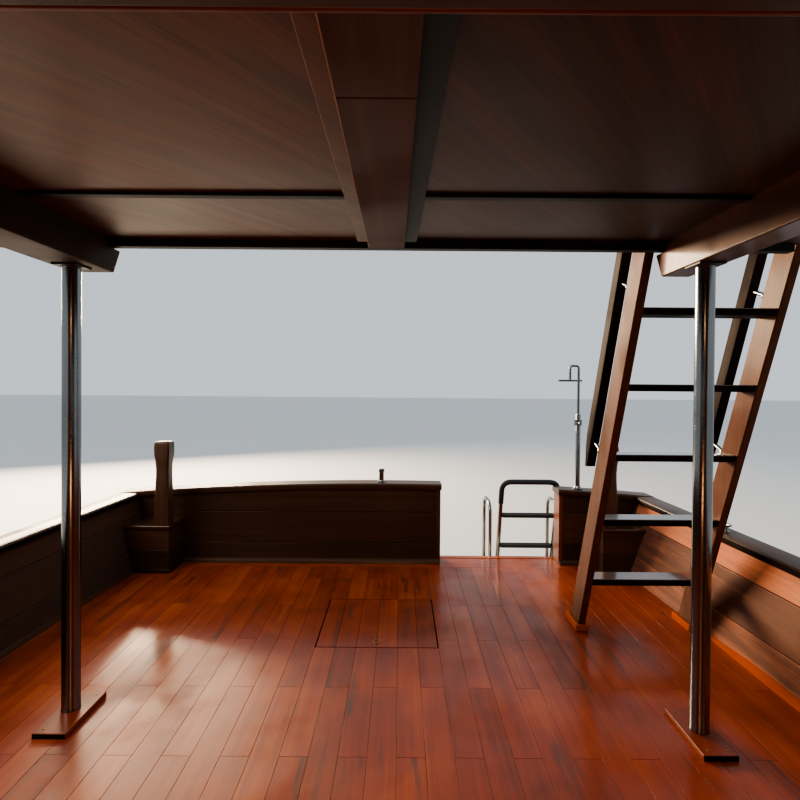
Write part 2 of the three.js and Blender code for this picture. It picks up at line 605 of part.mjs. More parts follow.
function benches() {
  for (const { side, sign } of SIDES) {
    const profile = [[1000, 1000], [1060, 1000], [1060, 1395], [1480, 1395], [1540, 1000], [1540, 1850],
      [1495, 1850], [1470, 1440], [1000, 1440]];
    const closed = profile.map(([y, z]) => [sign * y, z + GAP]);
    add(`bench_${side}`, 'warmVarnish', prismX(closed, -3100, 400));
  }
}

// Companion ladder
const stringerX = (z) => LADDER.footX + LADDER.lean * (z - DECK_Z);

// The ladder lists to port, its port side more, so that it is a little wider at the top
function listed(shape) {
  const { list, innerY, innerWidth } = LADDER;
  const geometry = geometryOf(shape).clone();
  const position = geometry.getAttribute('position');
  for (let i = 0; i < position.count; i += 1) {
    const y = position.getY(i);
    const share = (y - innerY) / innerWidth;
    const slant = list.starboard + share * (list.port - list.starboard);
    position.setY(i, y + slant * (position.getZ(i) - DECK_Z));
  }
  return geometry;
}

function slantedBar(behind, depth, z0, z1, y0, y1) {
  const front = (z) => stringerX(z) - behind;
  const profile = [[front(z0) - depth, z0], [front(z0), z0], [front(z1), z1], [front(z1) - depth, z1]];
  return prismY(profile, y0, y1);
}

function companionLadder() {
  const { innerY, innerWidth, thick, depth, top } = LADDER;
  const outerY = innerY + innerWidth;
  const foot = DECK_Z + GAP;
  const shapes = [
    slantedBar(0, depth, foot, top, innerY - thick, innerY), slantedBar(0, depth, foot, top, outerY, outerY + thick),
  ];
  for (let i = 0; i < LADDER.treads; i += 1) {
    const z = DECK_Z + LADDER.firstTread + i * LADDER.treadStep;
    const front = stringerX(z) - (depth - LADDER.treadDepth) / 2;
    shapes.push(box(front - LADDER.treadDepth, front, innerY - 3, outerY + 3, z - LADDER.treadThick, z));
  }
  for (const y of [innerY - thick / 2, outerY + thick / 2]) {
    shapes.push(box(LADDER.footX - depth - 30, LADDER.footX + 25, y - 38, y + 38, foot, DECK_Z + 42));
  }
  add('companion_ladder', 'warmVarnish', listed(join(...shapes)));
  const rails = [{ side: 'starboard', y: innerY - thick / 2 }, { side: 'port', y: outerY + thick / 2 }];
  for (const { side, y } of rails) {
    const { behind, width, from, to, bracketHeights } = HANDRAIL;
    const bar = slantedBar(depth + behind, HANDRAIL.depth, from, to, y - width / 2, y + width / 2);
    const brackets = bracketHeights.map((z) => (
      slantedBar(depth + GAP, behind + 10, z, z + 28, y - 8, y + 8)
    ));
    add(`ladder_handrail_${side}`, 'darkVarnish', listed(join(bar, ...brackets)));
  }
}

// Stern gear
function swimPlatform() {
  const { aft, top, thick, from, to, ledger } = PLATFORM;
  const slotFrom = HOOP.ys.starboard + 22;
  const slotTo = HOOP.ys.port - 22;
  const fore = STERN_X - GAP;
  const deck = box(aft, fore, from, to, top - thick, top);
  const slot = box(aft - 10, fore - ledger, slotFrom, slotTo, top - thick - 10, top + 10);
  const knees = [from + 60, slotFrom - 60, slotTo + 60, to - 60].map((y) => (
    prismY([[fore, top - thick + 5], [aft + 120, top - thick + 5], [fore, 180]], y - 20, y + 20)
  ));
  add('swim_platform', 'warmVarnish', join(cut(deck, slot), ...knees));
  for (const { side } of SIDES) {
    const y = HOOP.ys[side];
    const corners = [[HOOP.fore, y, top + GAP], [HOOP.fore, y, HOOP.top], [HOOP.aft, y, HOOP.top],
      [HOOP.aft, y, top + GAP]];
    add(`boarding_hoop_${side}`, 'stainless', bentTube(corners, 120, HOOP.radius));
  }
}

function swimLadder() {
  const { x, y, z, half, radius, lean, length, rungs } = SWIM_LADDER;
  const frame = bentTube([[0, -half, 0], [0, -half, length], [0, half, length], [0, half, 0]], 75, radius);
  const bars = [0, ...rungs].map((height) => rod([0, -half, height], [0, half, height], radius - 1, 10));
  add('swim_ladder', 'stainless', join(frame, ...bars), {
    position: [x, y, z], rotation: [0, THREE.MathUtils.degToRad(lean), 0],
  });
  const lugY = half + radius + PIN_PLAY;
  const plateX = STERN_X - GAP;
  const lug = [[plateX - 6, z - 45], [x - 22, z - 24], [x - 22, z + 24], [plateX - 6, z + 45]];
  const lugs = [[-lugY - 8, -lugY], [lugY, lugY + 8]].map(([y0, y1]) => prismY(lug, y + y0, y + y1));
  const plate = box(plateX - 8, plateX, y - lugY - 8, y + lugY + 8, z - 50, z + 50);
  add('swim_ladder_bracket', 'stainless', join(plate, ...lugs));
}

function showerPost() {
  const { x, y } = SHOWER;
  const foot = transomTop(y) + 1.6;
  const lower = rod([0, 0, foot], [0, 0, 2220], 20, 14);
  const upper = rod([0, 0, 2200], [0, 0, 2590], 11, 10);
  const neck = bentTube([[0, 0, 2580], [0, 0, 2620], [0, -70, 2620], [0, -70, 2500]], 18, 10, 8, 24);
  const head = box(-18, 18, -165, 25, 2490, 2506);
  const clamp = box(-30, 30, -34, 34, 2130, 2175);
  add('shower_post', 'stainless', join(lower, upper, neck, head, clamp), { position: [x, y, 0] });
}

// Under water
const keelLine = RINGS.map((along) => sidePoint(along, stationAt(along).keel));

function bottomAt(x) {
  const next = keelLine.findIndex((point) => point.x > x);
  const [a, b] = [keelLine[next - 1], keelLine[next]];
  return a.z + ((b.z - a.z) * (x - a.x)) / (b.x - a.x);
}

function keel() {
  const { aft, heel, heelTop, bottom, foreBottom, foreX, half } = KEEL;
  const end = foreX + 300;
  const top = [[aft, bottomAt(aft) - GAP]];
  for (const point of keelLine) {
    if (point.x > aft && point.x < end) top.push([point.x, point.z - GAP]);
  }
  top.push([end, bottomAt(end) - GAP]);
  const profile = [...top, [foreX, foreBottom], [heel, bottom], [heel, heelTop], [aft, heelTop]];
  const boss = rod([SHAFT.boss, 0, SHAFT.z], [SHAFT.boss + 400, 0, SHAFT.z], 62, 20);
  add('keel', 'bottomPaint', join(prismY(profile, -half, half), boss));
}

function propeller() {
  const hubEnd = PROPELLER.x - 90;
  const shapes = [
    rod([SHAFT.boss - 0.8 - PROPELLER.x, 0, 0], [0, 0, 0], SHAFT.radius, 16),
    rod([80, 0, 0], [hubEnd - PROPELLER.x, 0, 0], PROPELLER.hub, 20),
  ];
  for (let i = 0; i < PROPELLER.blades; i += 1) {
    const leaf = new THREE.Shape().absellipse(0, 155, 76, PROPELLER.radius - 155, 0, Math.PI * 2);
    const blade = new THREE.ExtrudeGeometry(leaf, { depth: 14, bevelEnabled: false, curveSegments: 10 });
    blade.translate(0, 0, -7).rotateX(Math.PI / 2).rotateZ(THREE.MathUtils.degToRad(62));
    shapes.push(blade.rotateX((i / PROPELLER.blades) * Math.PI * 2));
  }
  add('propeller', 'bronze', join(...shapes), { position: [PROPELLER.x, 0, SHAFT.z] });
}

function rudder() {
  const { top, bladeTop, bottom, fore, aft, thick } = RUDDER;
  const foil = outline([[fore, 0], [fore - 35, thick * 0.42], [0, thick / 2], [-aft, 5], [-aft, -5],
    [0, -thick / 2], [fore - 35, -thick * 0.42]]);
  const blade = prismZ(foil, bottom, bladeTop);
  const stock = rod([0, 0, KEEL.heelTop + 0.5], [0, 0, top], 28, 16);
  add('rudder', 'bottomPaint', join(blade, stock), { position: [RUDDER.x, 0, 0] });
}

// Foredeck
const foredeck = new THREE.Group();
foredeck.name = 'foredeck_fittings';
foredeck.position.set(4600, 0, foredeckAt(4600) + GAP);
foredeck.rotation.y = -Math.atan(FOREDECK_SLOPE);
boat.add(foredeck);

function foredeckFittings() {
  const half = 320;
  const coaming = cut(
    box(-half, half, -half, half, 0, 130), box(45 - half, half - 45, 45 - half, half - 45, -10, 140),
  );
  add('fore_hatch_coaming', 'warmVarnish', coaming, { group: foredeck });
  const lid = box(-half - 12, half + 12, -half - 12, half + 12, 130 + GAP, 162);
  add('fore_hatch_lid', 'warmVarnish', lid, { group: foredeck });
  const post = join(box(-60, 60, -60, 60, 0, 430), rod([0, -190, 330], [0, 190, 330], 22, 12));
  add('bow_bitt', 'darkVarnish', post, { group: foredeck, position: [1700, 0, 0] });
}

hull();
decks();
aftHatchLid();
bulwarks();
breasthook();
transomPiece('transom_starboard', GATE.from, -1);
transomPiece('transom_port', GATE.to, 1);
quarterBoxes();
roofPosts();
roof();
guardRails();
mast();
houseSides();
sideDoors();
houseEnds();
helm();
benches();
companionLadder();
swimPlatform();
swimLadder();
showerPost();
keel();
propeller();
rudder();
foredeckFittings();

export default boat;
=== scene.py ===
# %% [markdown]
# # A wooden motor boat, finished around its solids
# The boat comes in as a frame of plain solids. This lesson keeps their sizes and gives the boat what a
# boatbuilder and a painter would: planks, seams, varnish, paint, polished steel and small fittings.
# Everything is in metres. The origin is on the waterline, X runs to the bow, Y to port and Z up.

import json
import math
import random

import bmesh
import bpy
from mathutils import Matrix, Vector

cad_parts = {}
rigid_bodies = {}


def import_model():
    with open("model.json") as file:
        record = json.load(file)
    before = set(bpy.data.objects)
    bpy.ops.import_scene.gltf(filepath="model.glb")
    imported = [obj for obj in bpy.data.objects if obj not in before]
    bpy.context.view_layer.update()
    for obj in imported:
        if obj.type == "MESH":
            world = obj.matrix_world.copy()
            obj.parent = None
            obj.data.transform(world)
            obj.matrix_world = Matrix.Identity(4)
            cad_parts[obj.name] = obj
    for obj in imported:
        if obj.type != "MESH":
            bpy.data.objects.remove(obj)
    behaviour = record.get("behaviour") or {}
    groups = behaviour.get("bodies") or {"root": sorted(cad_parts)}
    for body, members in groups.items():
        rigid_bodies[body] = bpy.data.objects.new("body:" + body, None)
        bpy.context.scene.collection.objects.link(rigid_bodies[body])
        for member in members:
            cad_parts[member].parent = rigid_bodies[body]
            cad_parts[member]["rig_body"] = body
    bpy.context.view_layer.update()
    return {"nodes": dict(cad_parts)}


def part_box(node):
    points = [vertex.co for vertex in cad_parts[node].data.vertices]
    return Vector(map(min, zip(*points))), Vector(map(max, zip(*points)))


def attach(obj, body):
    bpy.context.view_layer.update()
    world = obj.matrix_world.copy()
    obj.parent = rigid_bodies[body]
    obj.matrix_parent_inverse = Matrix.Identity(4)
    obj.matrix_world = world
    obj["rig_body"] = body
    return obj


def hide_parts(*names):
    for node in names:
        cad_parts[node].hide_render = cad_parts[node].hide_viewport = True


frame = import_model()
solids = frame["nodes"]
scene = bpy.context.scene

# %% [markdown]
# ## The camera
# The photograph is taken at eye height in the deckhouse doorway and looks aft over the deck. The lines of the
# deck, bulwarks and roof meet in one point, and that point gives the direction. The small roll is the boat's
# own. The lens is wide: 560 pixels of focal length on a picture 800 pixels wide.

# %% Camera
PICTURE = 800
FOCAL = 560
EYE = Vector((-2.80, 0.10, 2.443))
PITCH = math.radians(0.62)
ROLL = math.radians(0.45)
HORIZON_RISE = 14


def photograph_camera():
    camera = bpy.data.cameras.new("camera")
    camera.sensor_width = 36
    camera.lens = camera.sensor_width * FOCAL / PICTURE
    camera.shift_y = (FOCAL * math.tan(PITCH) - HORIZON_RISE) / PICTURE
    camera.clip_start = 0.02
    look = Vector((-math.cos(PITCH), 0, -math.sin(PITCH)))
    right = Vector((0, 1, 0))
    turn = Matrix((right, right.cross(look), -look)).transposed() @ Matrix.Rotation(ROLL, 3, "Z")
    holder = bpy.data.objects.new("camera", camera)
    holder.location = EYE
    holder.rotation_mode = "QUATERNION"
    holder.rotation_quaternion = turn.to_quaternion()
    scene.collection.objects.link(holder)
    scene.camera = holder
    return holder


print("camera", photograph_camera().location)

# %% [markdown]
# ## Shader maths in plain Python
# Varnish and paint are sums of soft patterns. Node trees for them grow long, so a small class wraps a socket
# and lets an expression such as `0.2 + 0.1 * fibres` add its own nodes. Vectors go through Vector Math,
# numbers through Math, and colours are mixed by a Mix node, because a Math node would turn them grey.

# %% A socket that can be used in sums


class Field:
    """A value that changes over a surface."""

    def __init__(self, finish, socket):
        self.finish = finish
        self.socket = socket

    def _sum(self, operation, first, second):
        kind = "ShaderNodeVectorMath" if is_vector(first) or is_vector(second) else "ShaderNodeMath"
        return self.finish.node(kind, {"operation": operation}, {0: first, 1: second})

    def __add__(self, other):
        return self._sum("ADD", self, other)

    def __radd__(self, other):
        return self._sum("ADD", other, self)

    def __sub__(self, other):
        return self._sum("SUBTRACT", self, other)

    def __rsub__(self, other):
        return self._sum("SUBTRACT", other, self)

    def __mul__(self, other):
        return self._sum("MULTIPLY", self, other)

    def __rmul__(self, other):
        return self._sum("MULTIPLY", other, self)

    def __gt__(self, other):
        return self._sum("GREATER_THAN", self, other)


def is_vector(value):
    return isinstance(value, tuple) or (isinstance(value, Field) and value.socket.type == "VECTOR")


# %% A finish and its nodes


class Finish:
    """One material in the making, with the record's slot that it belongs to."""

    def __init__(self, name, slot, **sockets):
        self.slot = slot
        self.material = bpy.data.materials.new(name)
        self.material.use_nodes = True
        self.tree = self.material.node_tree
        self.shader = self.tree.nodes["Principled BSDF"]
        for socket, value in sockets.items():
            self.set(socket.replace("_", " "), value)

    def feed(self, socket, value):
        if isinstance(value, Field):
            self.tree.links.new(value.socket, socket)
        elif socket.type == "RGBA":
            socket.default_value = (*value, 1)
        elif socket.type == "VECTOR" and not isinstance(value, tuple):
            socket.default_value = (value, value, value)
        else:
            socket.default_value = value

    def set(self, socket, value):
        self.feed(self.shader.inputs[socket], value)

    def node(self, kind, settings=None, sockets=None, output=0):
        made = self.tree.nodes.new(kind)
        for setting, value in (settings or {}).items():
            if setting == "stops":
                self.set_stops(made.color_ramp.elements, value)
            else:
                setattr(made, setting, value)
        for socket, value in (sockets or {}).items():
            self.feed(made.inputs[socket], value)
        return Field(self, made.outputs[output])

    @staticmethod
    def set_stops(elements, stops):
        while len(elements) < len(stops):
            elements.new(0.5)
        for element, (position, colour) in zip(elements, stops):
            element.position = position
            element.color = (*colour, 1)

    def place(self):
        return self.node("ShaderNodeTexCoord", output="Object")

    def attribute(self, name, output):
        return self.node("ShaderNodeAttribute", {"attribute_name": name}, output=output)

    def noise(self, vector, scale=1.0, detail=3.0, distortion=0.0):
        return self.node(
            "ShaderNodeTexNoise", None,
            {"Vector": vector, "Scale": scale, "Detail": detail, "Distortion": distortion},
        )

    def between(self, value, low, high):
        """0 below low, 1 above high and a soft step between them."""
        return self.node(
            "ShaderNodeMapRange", {"interpolation_type": "SMOOTHSTEP"},
            {"Value": value, "From Min": low, "From Max": high},
        )

    def mix(self, factor, first, second):
        return self.node("ShaderNodeMix", {"data_type": "RGBA"}, {0: factor, 6: first, 7: second}, output=2)

    def ramp(self, value, *stops):
        return self.node("ShaderNodeValToRGB", {"stops": stops}, {"Fac": value})

    def axis(self, vector, name):
        return self.node("ShaderNodeSeparateXYZ", None, {"Vector": vector}, output=name)

    def bump(self, height, distance, strength=1.0):
        made = self.node("ShaderNodeBump", None, {"Height": height, "Distance": distance, "Strength": strength})
        self.set("Normal", made)


print("shader helpers are ready")

# %% [markdown]
# ## Varnished wood
# Every visible timber of this boat is hardwood under many coats of varnish. Wood has fibres that run along the
# board, slow bands across them, and each board has its own tone. A picture of wood would repeat, so the
# pattern is computed from two attributes that every mesh here carries: `grain`, the point along, across and
# through its own board, and `tone`, one number for each board. The clear varnish is the shader's coat.

# %% Wood


AMBER_GLOSS = (1.0, 0.60, 0.36)


def wood(name, slot, dark, middle, light, rough=0.42, coat=0.2, coat_rough=0.16, tone_share=0.55, specular=0.3,
         worn=0.0, blotches=0.0):
    finish = Finish(
        name, slot, Coat_Weight=coat, Coat_Roughness=coat_rough, Specular_IOR_Level=specular,
        Specular_Tint=AMBER_GLOSS,
    )
    grain = finish.attribute("grain", "Vector")
    tone = finish.attribute("tone", "Fac")
    fibres = finish.noise(grain * (2.5, 140.0, 140.0), detail=4.0)
    bands = finish.noise(grain * (0.55, 16.0, 16.0), detail=3.0, distortion=0.8)
    pores = finish.noise(grain * (9.0, 420.0, 420.0), detail=2.0)
    wear = finish.noise(finish.place(), scale=2.3, detail=5.0)
    shade = tone_share * tone + 0.55 * bands + 0.25 * fibres + 0.12 * pores + (0.30 - 0.5 * tone_share - 0.26)
    if blotches:
        clouds = finish.noise(finish.place() * (2.6, 3.4, 5.0), detail=5.0, distortion=0.6)
        shade = shade + blotches * (clouds - 0.5)
    colour = finish.ramp(shade, (0.12, dark), (0.5, middle), (0.92, light))
    if worn:
        scuffs = finish.between(finish.noise(grain * (1.6, 22.0, 1.0), detail=6.0), 0.56, 0.70)
        patches = finish.between(finish.noise(finish.place() * (1.1, 2.2, 1.0), detail=4.0), 0.42, 0.62)
        colour = finish.mix(worn * patches * scuffs, colour, (0.045, 0.026, 0.022))
    finish.set("Base Color", colour)
    finish.set("Roughness", rough + (0.22 + 0.2 * blotches) * finish.between(wear, 0.42, 0.72) + 0.1 * fibres)
    finish.bump(0.6 * fibres + 0.4 * pores + 0.8 * wear, 0.0004)
    return finish


DECK_WOOD = wood(
    "deck_varnish", "deck_varnish", (0.105, 0.0135, 0.0020), (0.27, 0.036, 0.0044), (0.47, 0.092, 0.013),
    rough=0.32, coat=0.36, coat_rough=0.17, tone_share=0.22, worn=0.80, blotches=0.65,
)
PAD_WOOD = wood(
    "pad_varnish", "warm_varnish", (0.09, 0.0125, 0.0020), (0.20, 0.029, 0.0042), (0.33, 0.066, 0.010),
    rough=0.34, coat=0.3,
)
DARK_WOOD = wood(
    "dark_varnish", "dark_varnish", (0.015, 0.0080, 0.0052), (0.042, 0.0195, 0.0112), (0.10, 0.042, 0.022),
)
LINING_LOOK = {"rough": 0.50, "coat": 0.10, "tone_share": 0.75, "specular": 0.15, "blotches": 0.25}
# The bulwark's lining is one wood in two copies: this one, for starboard, is painted with shade.
SHADED_LINING = wood(
    "painted_shade_lining", "dark_varnish", (0.044, 0.0300, 0.0230), (0.092, 0.046, 0.0260), (0.25, 0.105, 0.052),
    **LINING_LOOK,
)
# The port copy of the lining, painted with sunlight: only the sunlit top row reaches its lightest stop.
SUNLIT_LINING = wood(
    "painted_sun_lining", "dark_varnish", (0.070, 0.032, 0.022), (0.150, 0.062, 0.040), (0.70, 0.235, 0.110),
    **LINING_LOOK,
)
WARM_WOOD = wood(
    "warm_varnish", "warm_varnish", (0.040, 0.0088, 0.0024), (0.12, 0.026, 0.0065), (0.25, 0.066, 0.018),
)
STRINGER_WOOD = wood(
    "stringer_varnish", "warm_varnish", (0.026, 0.0088, 0.0044), (0.082, 0.026, 0.0115), (0.18, 0.062, 0.028),
    rough=0.50, coat=0.06, specular=0.15,
)
# A dark stain: the centre plank's own colour, and painted shade on the starboard side beam.
BEAM_WOOD_AND_SHADE = wood(
    "beam_stain", "warm_varnish", (0.014, 0.0062, 0.0036), (0.045, 0.0180, 0.0088), (0.10, 0.040, 0.0200),
    rough=0.52, coat=0.0, specular=0.2,
)
TREAD_WOOD = wood(
    "tread_varnish", "dark_varnish", (0.012, 0.0036, 0.0014), (0.040, 0.0120, 0.0045), (0.10, 0.032, 0.013),
    rough=0.25, coat=1.0, coat_rough=0.10, specular=0.5,
)
# A matte orange wood, brighter than the deck: painted sunlight on the port foot strip and the ladder's chocks.
SUNLIT_STRIP_WOOD = wood(
    "painted_sun_strip", "deck_varnish", (0.16, 0.018, 0.0016), (0.34, 0.048, 0.0040), (0.50, 0.095, 0.010),
    rough=0.62, coat=0.0, specular=0.12,
)
# Nearly black wood: the handrails' own colour, and painted shade on the cap's bead, the pads' fore ends and the
# treads' edges.
BLACK_WOOD_AND_SHADE = wood(
    "black_wood_and_painted_shade", "dark_varnish", (0.0050, 0.0026, 0.0015), (0.011, 0.0052, 0.0028),
    (0.022, 0.0100, 0.0052), rough=0.55, coat=0.0, specular=0.10,
)
# A pale wood for thin strips of painted highlight.
EDGE_HIGHLIGHT = wood(
    "painted_edge_highlight", "warm_varnish", (0.16, 0.075, 0.045), (0.34, 0.17, 0.105), (0.50, 0.29, 0.19),
    rough=0.5, coat=0.0,
)
print("woods", DECK_WOOD.material.name, DARK_WOOD.material.name, WARM_WOOD.material.name)

# %% [markdown]
# ## Paint, metal, glass and rubber
# The topsides are painted white, with a dark stripe just above the waterline and red-brown paint below, so
# the colour changes with the height. Paint on planks is never quite even: it is a little chalky in patches and
# dirty low down. Steel and bronze are smooth metal with fine scratches.

# %% Painted planks
BOTTOM_TOP = 0.05
STRIPE_TOP = 0.17
RED_BROWN = (0.10, 0.02, 0.014), (0.20, 0.05, 0.035)


def painted_hull():
    finish = Finish("hull_paint", "hull_paint", Coat_Weight=0.35, Coat_Roughness=0.1)
    place = finish.place()
    height = finish.axis(place, "Z")
    streaks = finish.noise(place * (3.0, 3.0, 0.7), detail=5.0)
    patches = finish.noise(place * (0.7, 0.7, 2.2), detail=3.0)
    brush = finish.noise(place * (3.0, 3.0, 160.0), detail=2.0)
    dirt = finish.between(streaks, 0.48, 0.72) * finish.between(height, 0.95, 0.2)
    white = finish.mix(patches, (0.68, 0.65, 0.57), (0.80, 0.78, 0.71))
    white = finish.mix(0.45 * dirt, white, (0.36, 0.33, 0.24))
    stripe = finish.mix(patches, (0.012, 0.035, 0.032), (0.02, 0.055, 0.05))
    bottom = finish.mix(streaks, *RED_BROWN)
    above = finish.mix(height > STRIPE_TOP, stripe, white)
    finish.set("Base Color", finish.mix(height > BOTTOM_TOP, bottom, above))
    finish.set("Roughness", 0.30 + 0.25 * patches + 0.3 * dirt)
    finish.bump(0.5 * brush + 0.7 * patches, 0.0006)
    return finish


def paint(name, slot, dark, light, rough, coat=0.0, specular=0.3):
    finish = Finish(name, slot, Coat_Weight=coat, Coat_Roughness=0.15, Specular_IOR_Level=specular)
    place = finish.place()
    patches = finish.noise(place * (1.3, 1.3, 2.6), detail=4.0)
    brush = finish.noise(place * (60.0, 60.0, 60.0), detail=2.0)
    finish.set("Base Color", finish.mix(patches, dark, light))
    finish.set("Roughness", rough + 0.25 * patches - 0.12)
    finish.bump(0.4 * brush + patches, 0.0007)
    return finish


HULL_PAINT = painted_hull()
BOTTOM_PAINT = paint("bottom_paint", "bottom_paint", *RED_BROWN, 0.75)
# Dark paint, which on the centre beam's port rebate is a painted shadow.
DARK_PAINT_AND_SHADE = paint("dark_paint", "dark_paint", (0.006, 0.010, 0.009), (0.014, 0.023, 0.021), 0.60)
SEAM = paint("seam_compound", "dark_paint", (0.022, 0.0080, 0.0040), (0.050, 0.017, 0.008), 0.8)
print("paints", HULL_PAINT.material.name, DARK_PAINT_AND_SHADE.material.name)

# %% Metal, rubber and glass


def metal(name, slot, dark, light, rough, scratches=0.12):
    finish = Finish(name, slot, Metallic=1.0)
    place = finish.place()
    spots = finish.noise(place * (4.0, 4.0, 4.0), detail=4.0)
    lines = finish.noise(place * (40.0, 40.0, 220.0), detail=2.0)
    finish.set("Base Color", finish.mix(spots, dark, light))
    finish.set("Roughness", rough + scratches * finish.between(lines, 0.4, 0.8) + 0.5 * scratches * spots)
    finish.bump(lines, 0.00008)
    return finish


def rubber(name, slot):
    finish = Finish(name, slot)
    place = finish.place()
    dust = finish.noise(place * (12.0, 12.0, 12.0), detail=4.0)
    cells = finish.noise(place * (500.0, 500.0, 500.0), detail=1.0)
    finish.set("Base Color", finish.mix(dust, (0.010, 0.010, 0.011), (0.035, 0.035, 0.036)))
    finish.set("Roughness", 0.6 + 0.25 * dust)
    finish.bump(cells, 0.0004)
    return finish


def pane(name, slot, tint, alpha, glow=0.0):
    finish = Finish(name, slot, Roughness=0.03, IOR=1.45, Coat_Weight=0.5, Emission_Strength=glow)
    salt = finish.noise(finish.place() * (6.0, 6.0, 3.0), detail=6.0)
    haze = finish.between(salt, 0.5, 0.8)
    finish.set("Base Color", finish.mix(0.4 * haze, tint, (0.75, 0.78, 0.78)))
    finish.set("Alpha", alpha + 0.10 * haze)
    return finish


STEEL = metal("polished_steel", "stainless", (0.16, 0.165, 0.165), (0.27, 0.27, 0.26), 0.12)
DARK_STEEL = metal("painted_steel", "stainless", (0.030, 0.026, 0.022), (0.060, 0.052, 0.044), 0.45)
BRONZE = metal("cast_bronze", "bronze", (0.28, 0.17, 0.06), (0.50, 0.34, 0.14), 0.30, scratches=0.25)
RUBBER = rubber("black_grip", "grip")
GLASS = pane("window_glass", "glass", (0.10, 0.14, 0.14), 0.30)
RED_GLASS = pane("red_lamp", "glass", (0.45, 0.01, 0.01), 0.85)
GREEN_GLASS = pane("green_lamp", "glass", (0.01, 0.28, 0.08), 0.85)
WHITE_GLASS = pane("white_lamp", "glass", (0.75, 0.75, 0.72), 0.8)
print("metals", STEEL.material.name, BRONZE.material.name, "glass", GLASS.material.name)

# %% [markdown]
# ## The ceiling's plywood
# The roof's underside is stained plywood sheets. Rotary-cut veneer shows broad, wandering figure that lies
# aslant here, and the stain took unevenly, so the sheets are cloudy. The pattern is stretched along a slant.

# %% Plywood


def plywood():
    finish = Finish(
        "ceiling_plywood", "plywood", Coat_Weight=0.05, Coat_Roughness=0.3, Specular_IOR_Level=0.3,
        Specular_Tint=AMBER_GLOSS,
    )
    grain = finish.attribute("grain", "Vector")
    tone = finish.attribute("tone", "Fac")
    slanted = finish.node("ShaderNodeMapping", None, {"Vector": grain, "Rotation": (0.0, 0.0, 0.62)})
    figure = finish.noise(slanted * (0.8, 9.0, 1.0), detail=6.0, distortion=1.4)
    fibres = finish.noise(slanted * (3.0, 120.0, 1.0), detail=4.0)
    clouds = finish.noise(grain * (1.1, 1.4, 1.0), detail=4.0)
    shade = 0.4 * tone + 0.6 * figure + 0.35 * fibres + 0.4 * clouds - 0.36
    finish.set("Base Color", finish.ramp(
        shade, (0.25, (0.020, 0.0052, 0.0013)), (0.5, (0.060, 0.0165, 0.0040)), (0.75, (0.145, 0.044, 0.0115)),
    ))
    finish.set("Roughness", 0.36 + 0.3 * clouds)
    finish.bump(0.5 * fibres + 0.6 * figure, 0.0005)
    return finish


PLYWOOD = plywood()
print("ceiling", PLYWOOD.material.name)

# %% [markdown]
# ## Cutting timber
# A boatbuilder cuts boards one by one and fastens them side by side. The class below does the same: each board,
# bar or tube keeps its own tone and grain, and all of them end as one mesh, so that one bevel rounds all their
# edges. Round things are rings swept along a path, and a list of radii makes them turned or tapered. What both
# sides of the boat have is written for the port side, and a mirrored timber turns it over to starboard.

# %% Timber
BOX_FACES = ((0, 2, 3, 1), (4, 5, 7, 6), (0, 1, 5, 4), (2, 6, 7, 3), (0, 4, 6, 2), (1, 3, 7, 5))
SHARP = math.radians(33)


def shade_smooth(mesh):
    mesh.polygons.foreach_set("use_smooth", [True] * len(mesh.polygons))
    mesh.set_sharp_from_angle(angle=SHARP)


def piece(name, mesh, finish, body, replaces=(), bevel=0.0, segments=2):
    made = bpy.data.objects.new(name, mesh)
    scene.collection.objects.link(made)
    mesh.materials.append(finish.material)
    if bevel:
        edge = made.modifiers.new("rounded_edges", "BEVEL")
        edge.width = bevel
        edge.segments = segments
        edge.limit_method = "ANGLE"
        edge.angle_limit = math.radians(40)
        edge.harden_normals = True
    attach(made, body)
    if replaces:
        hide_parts(*replaces)
    return made


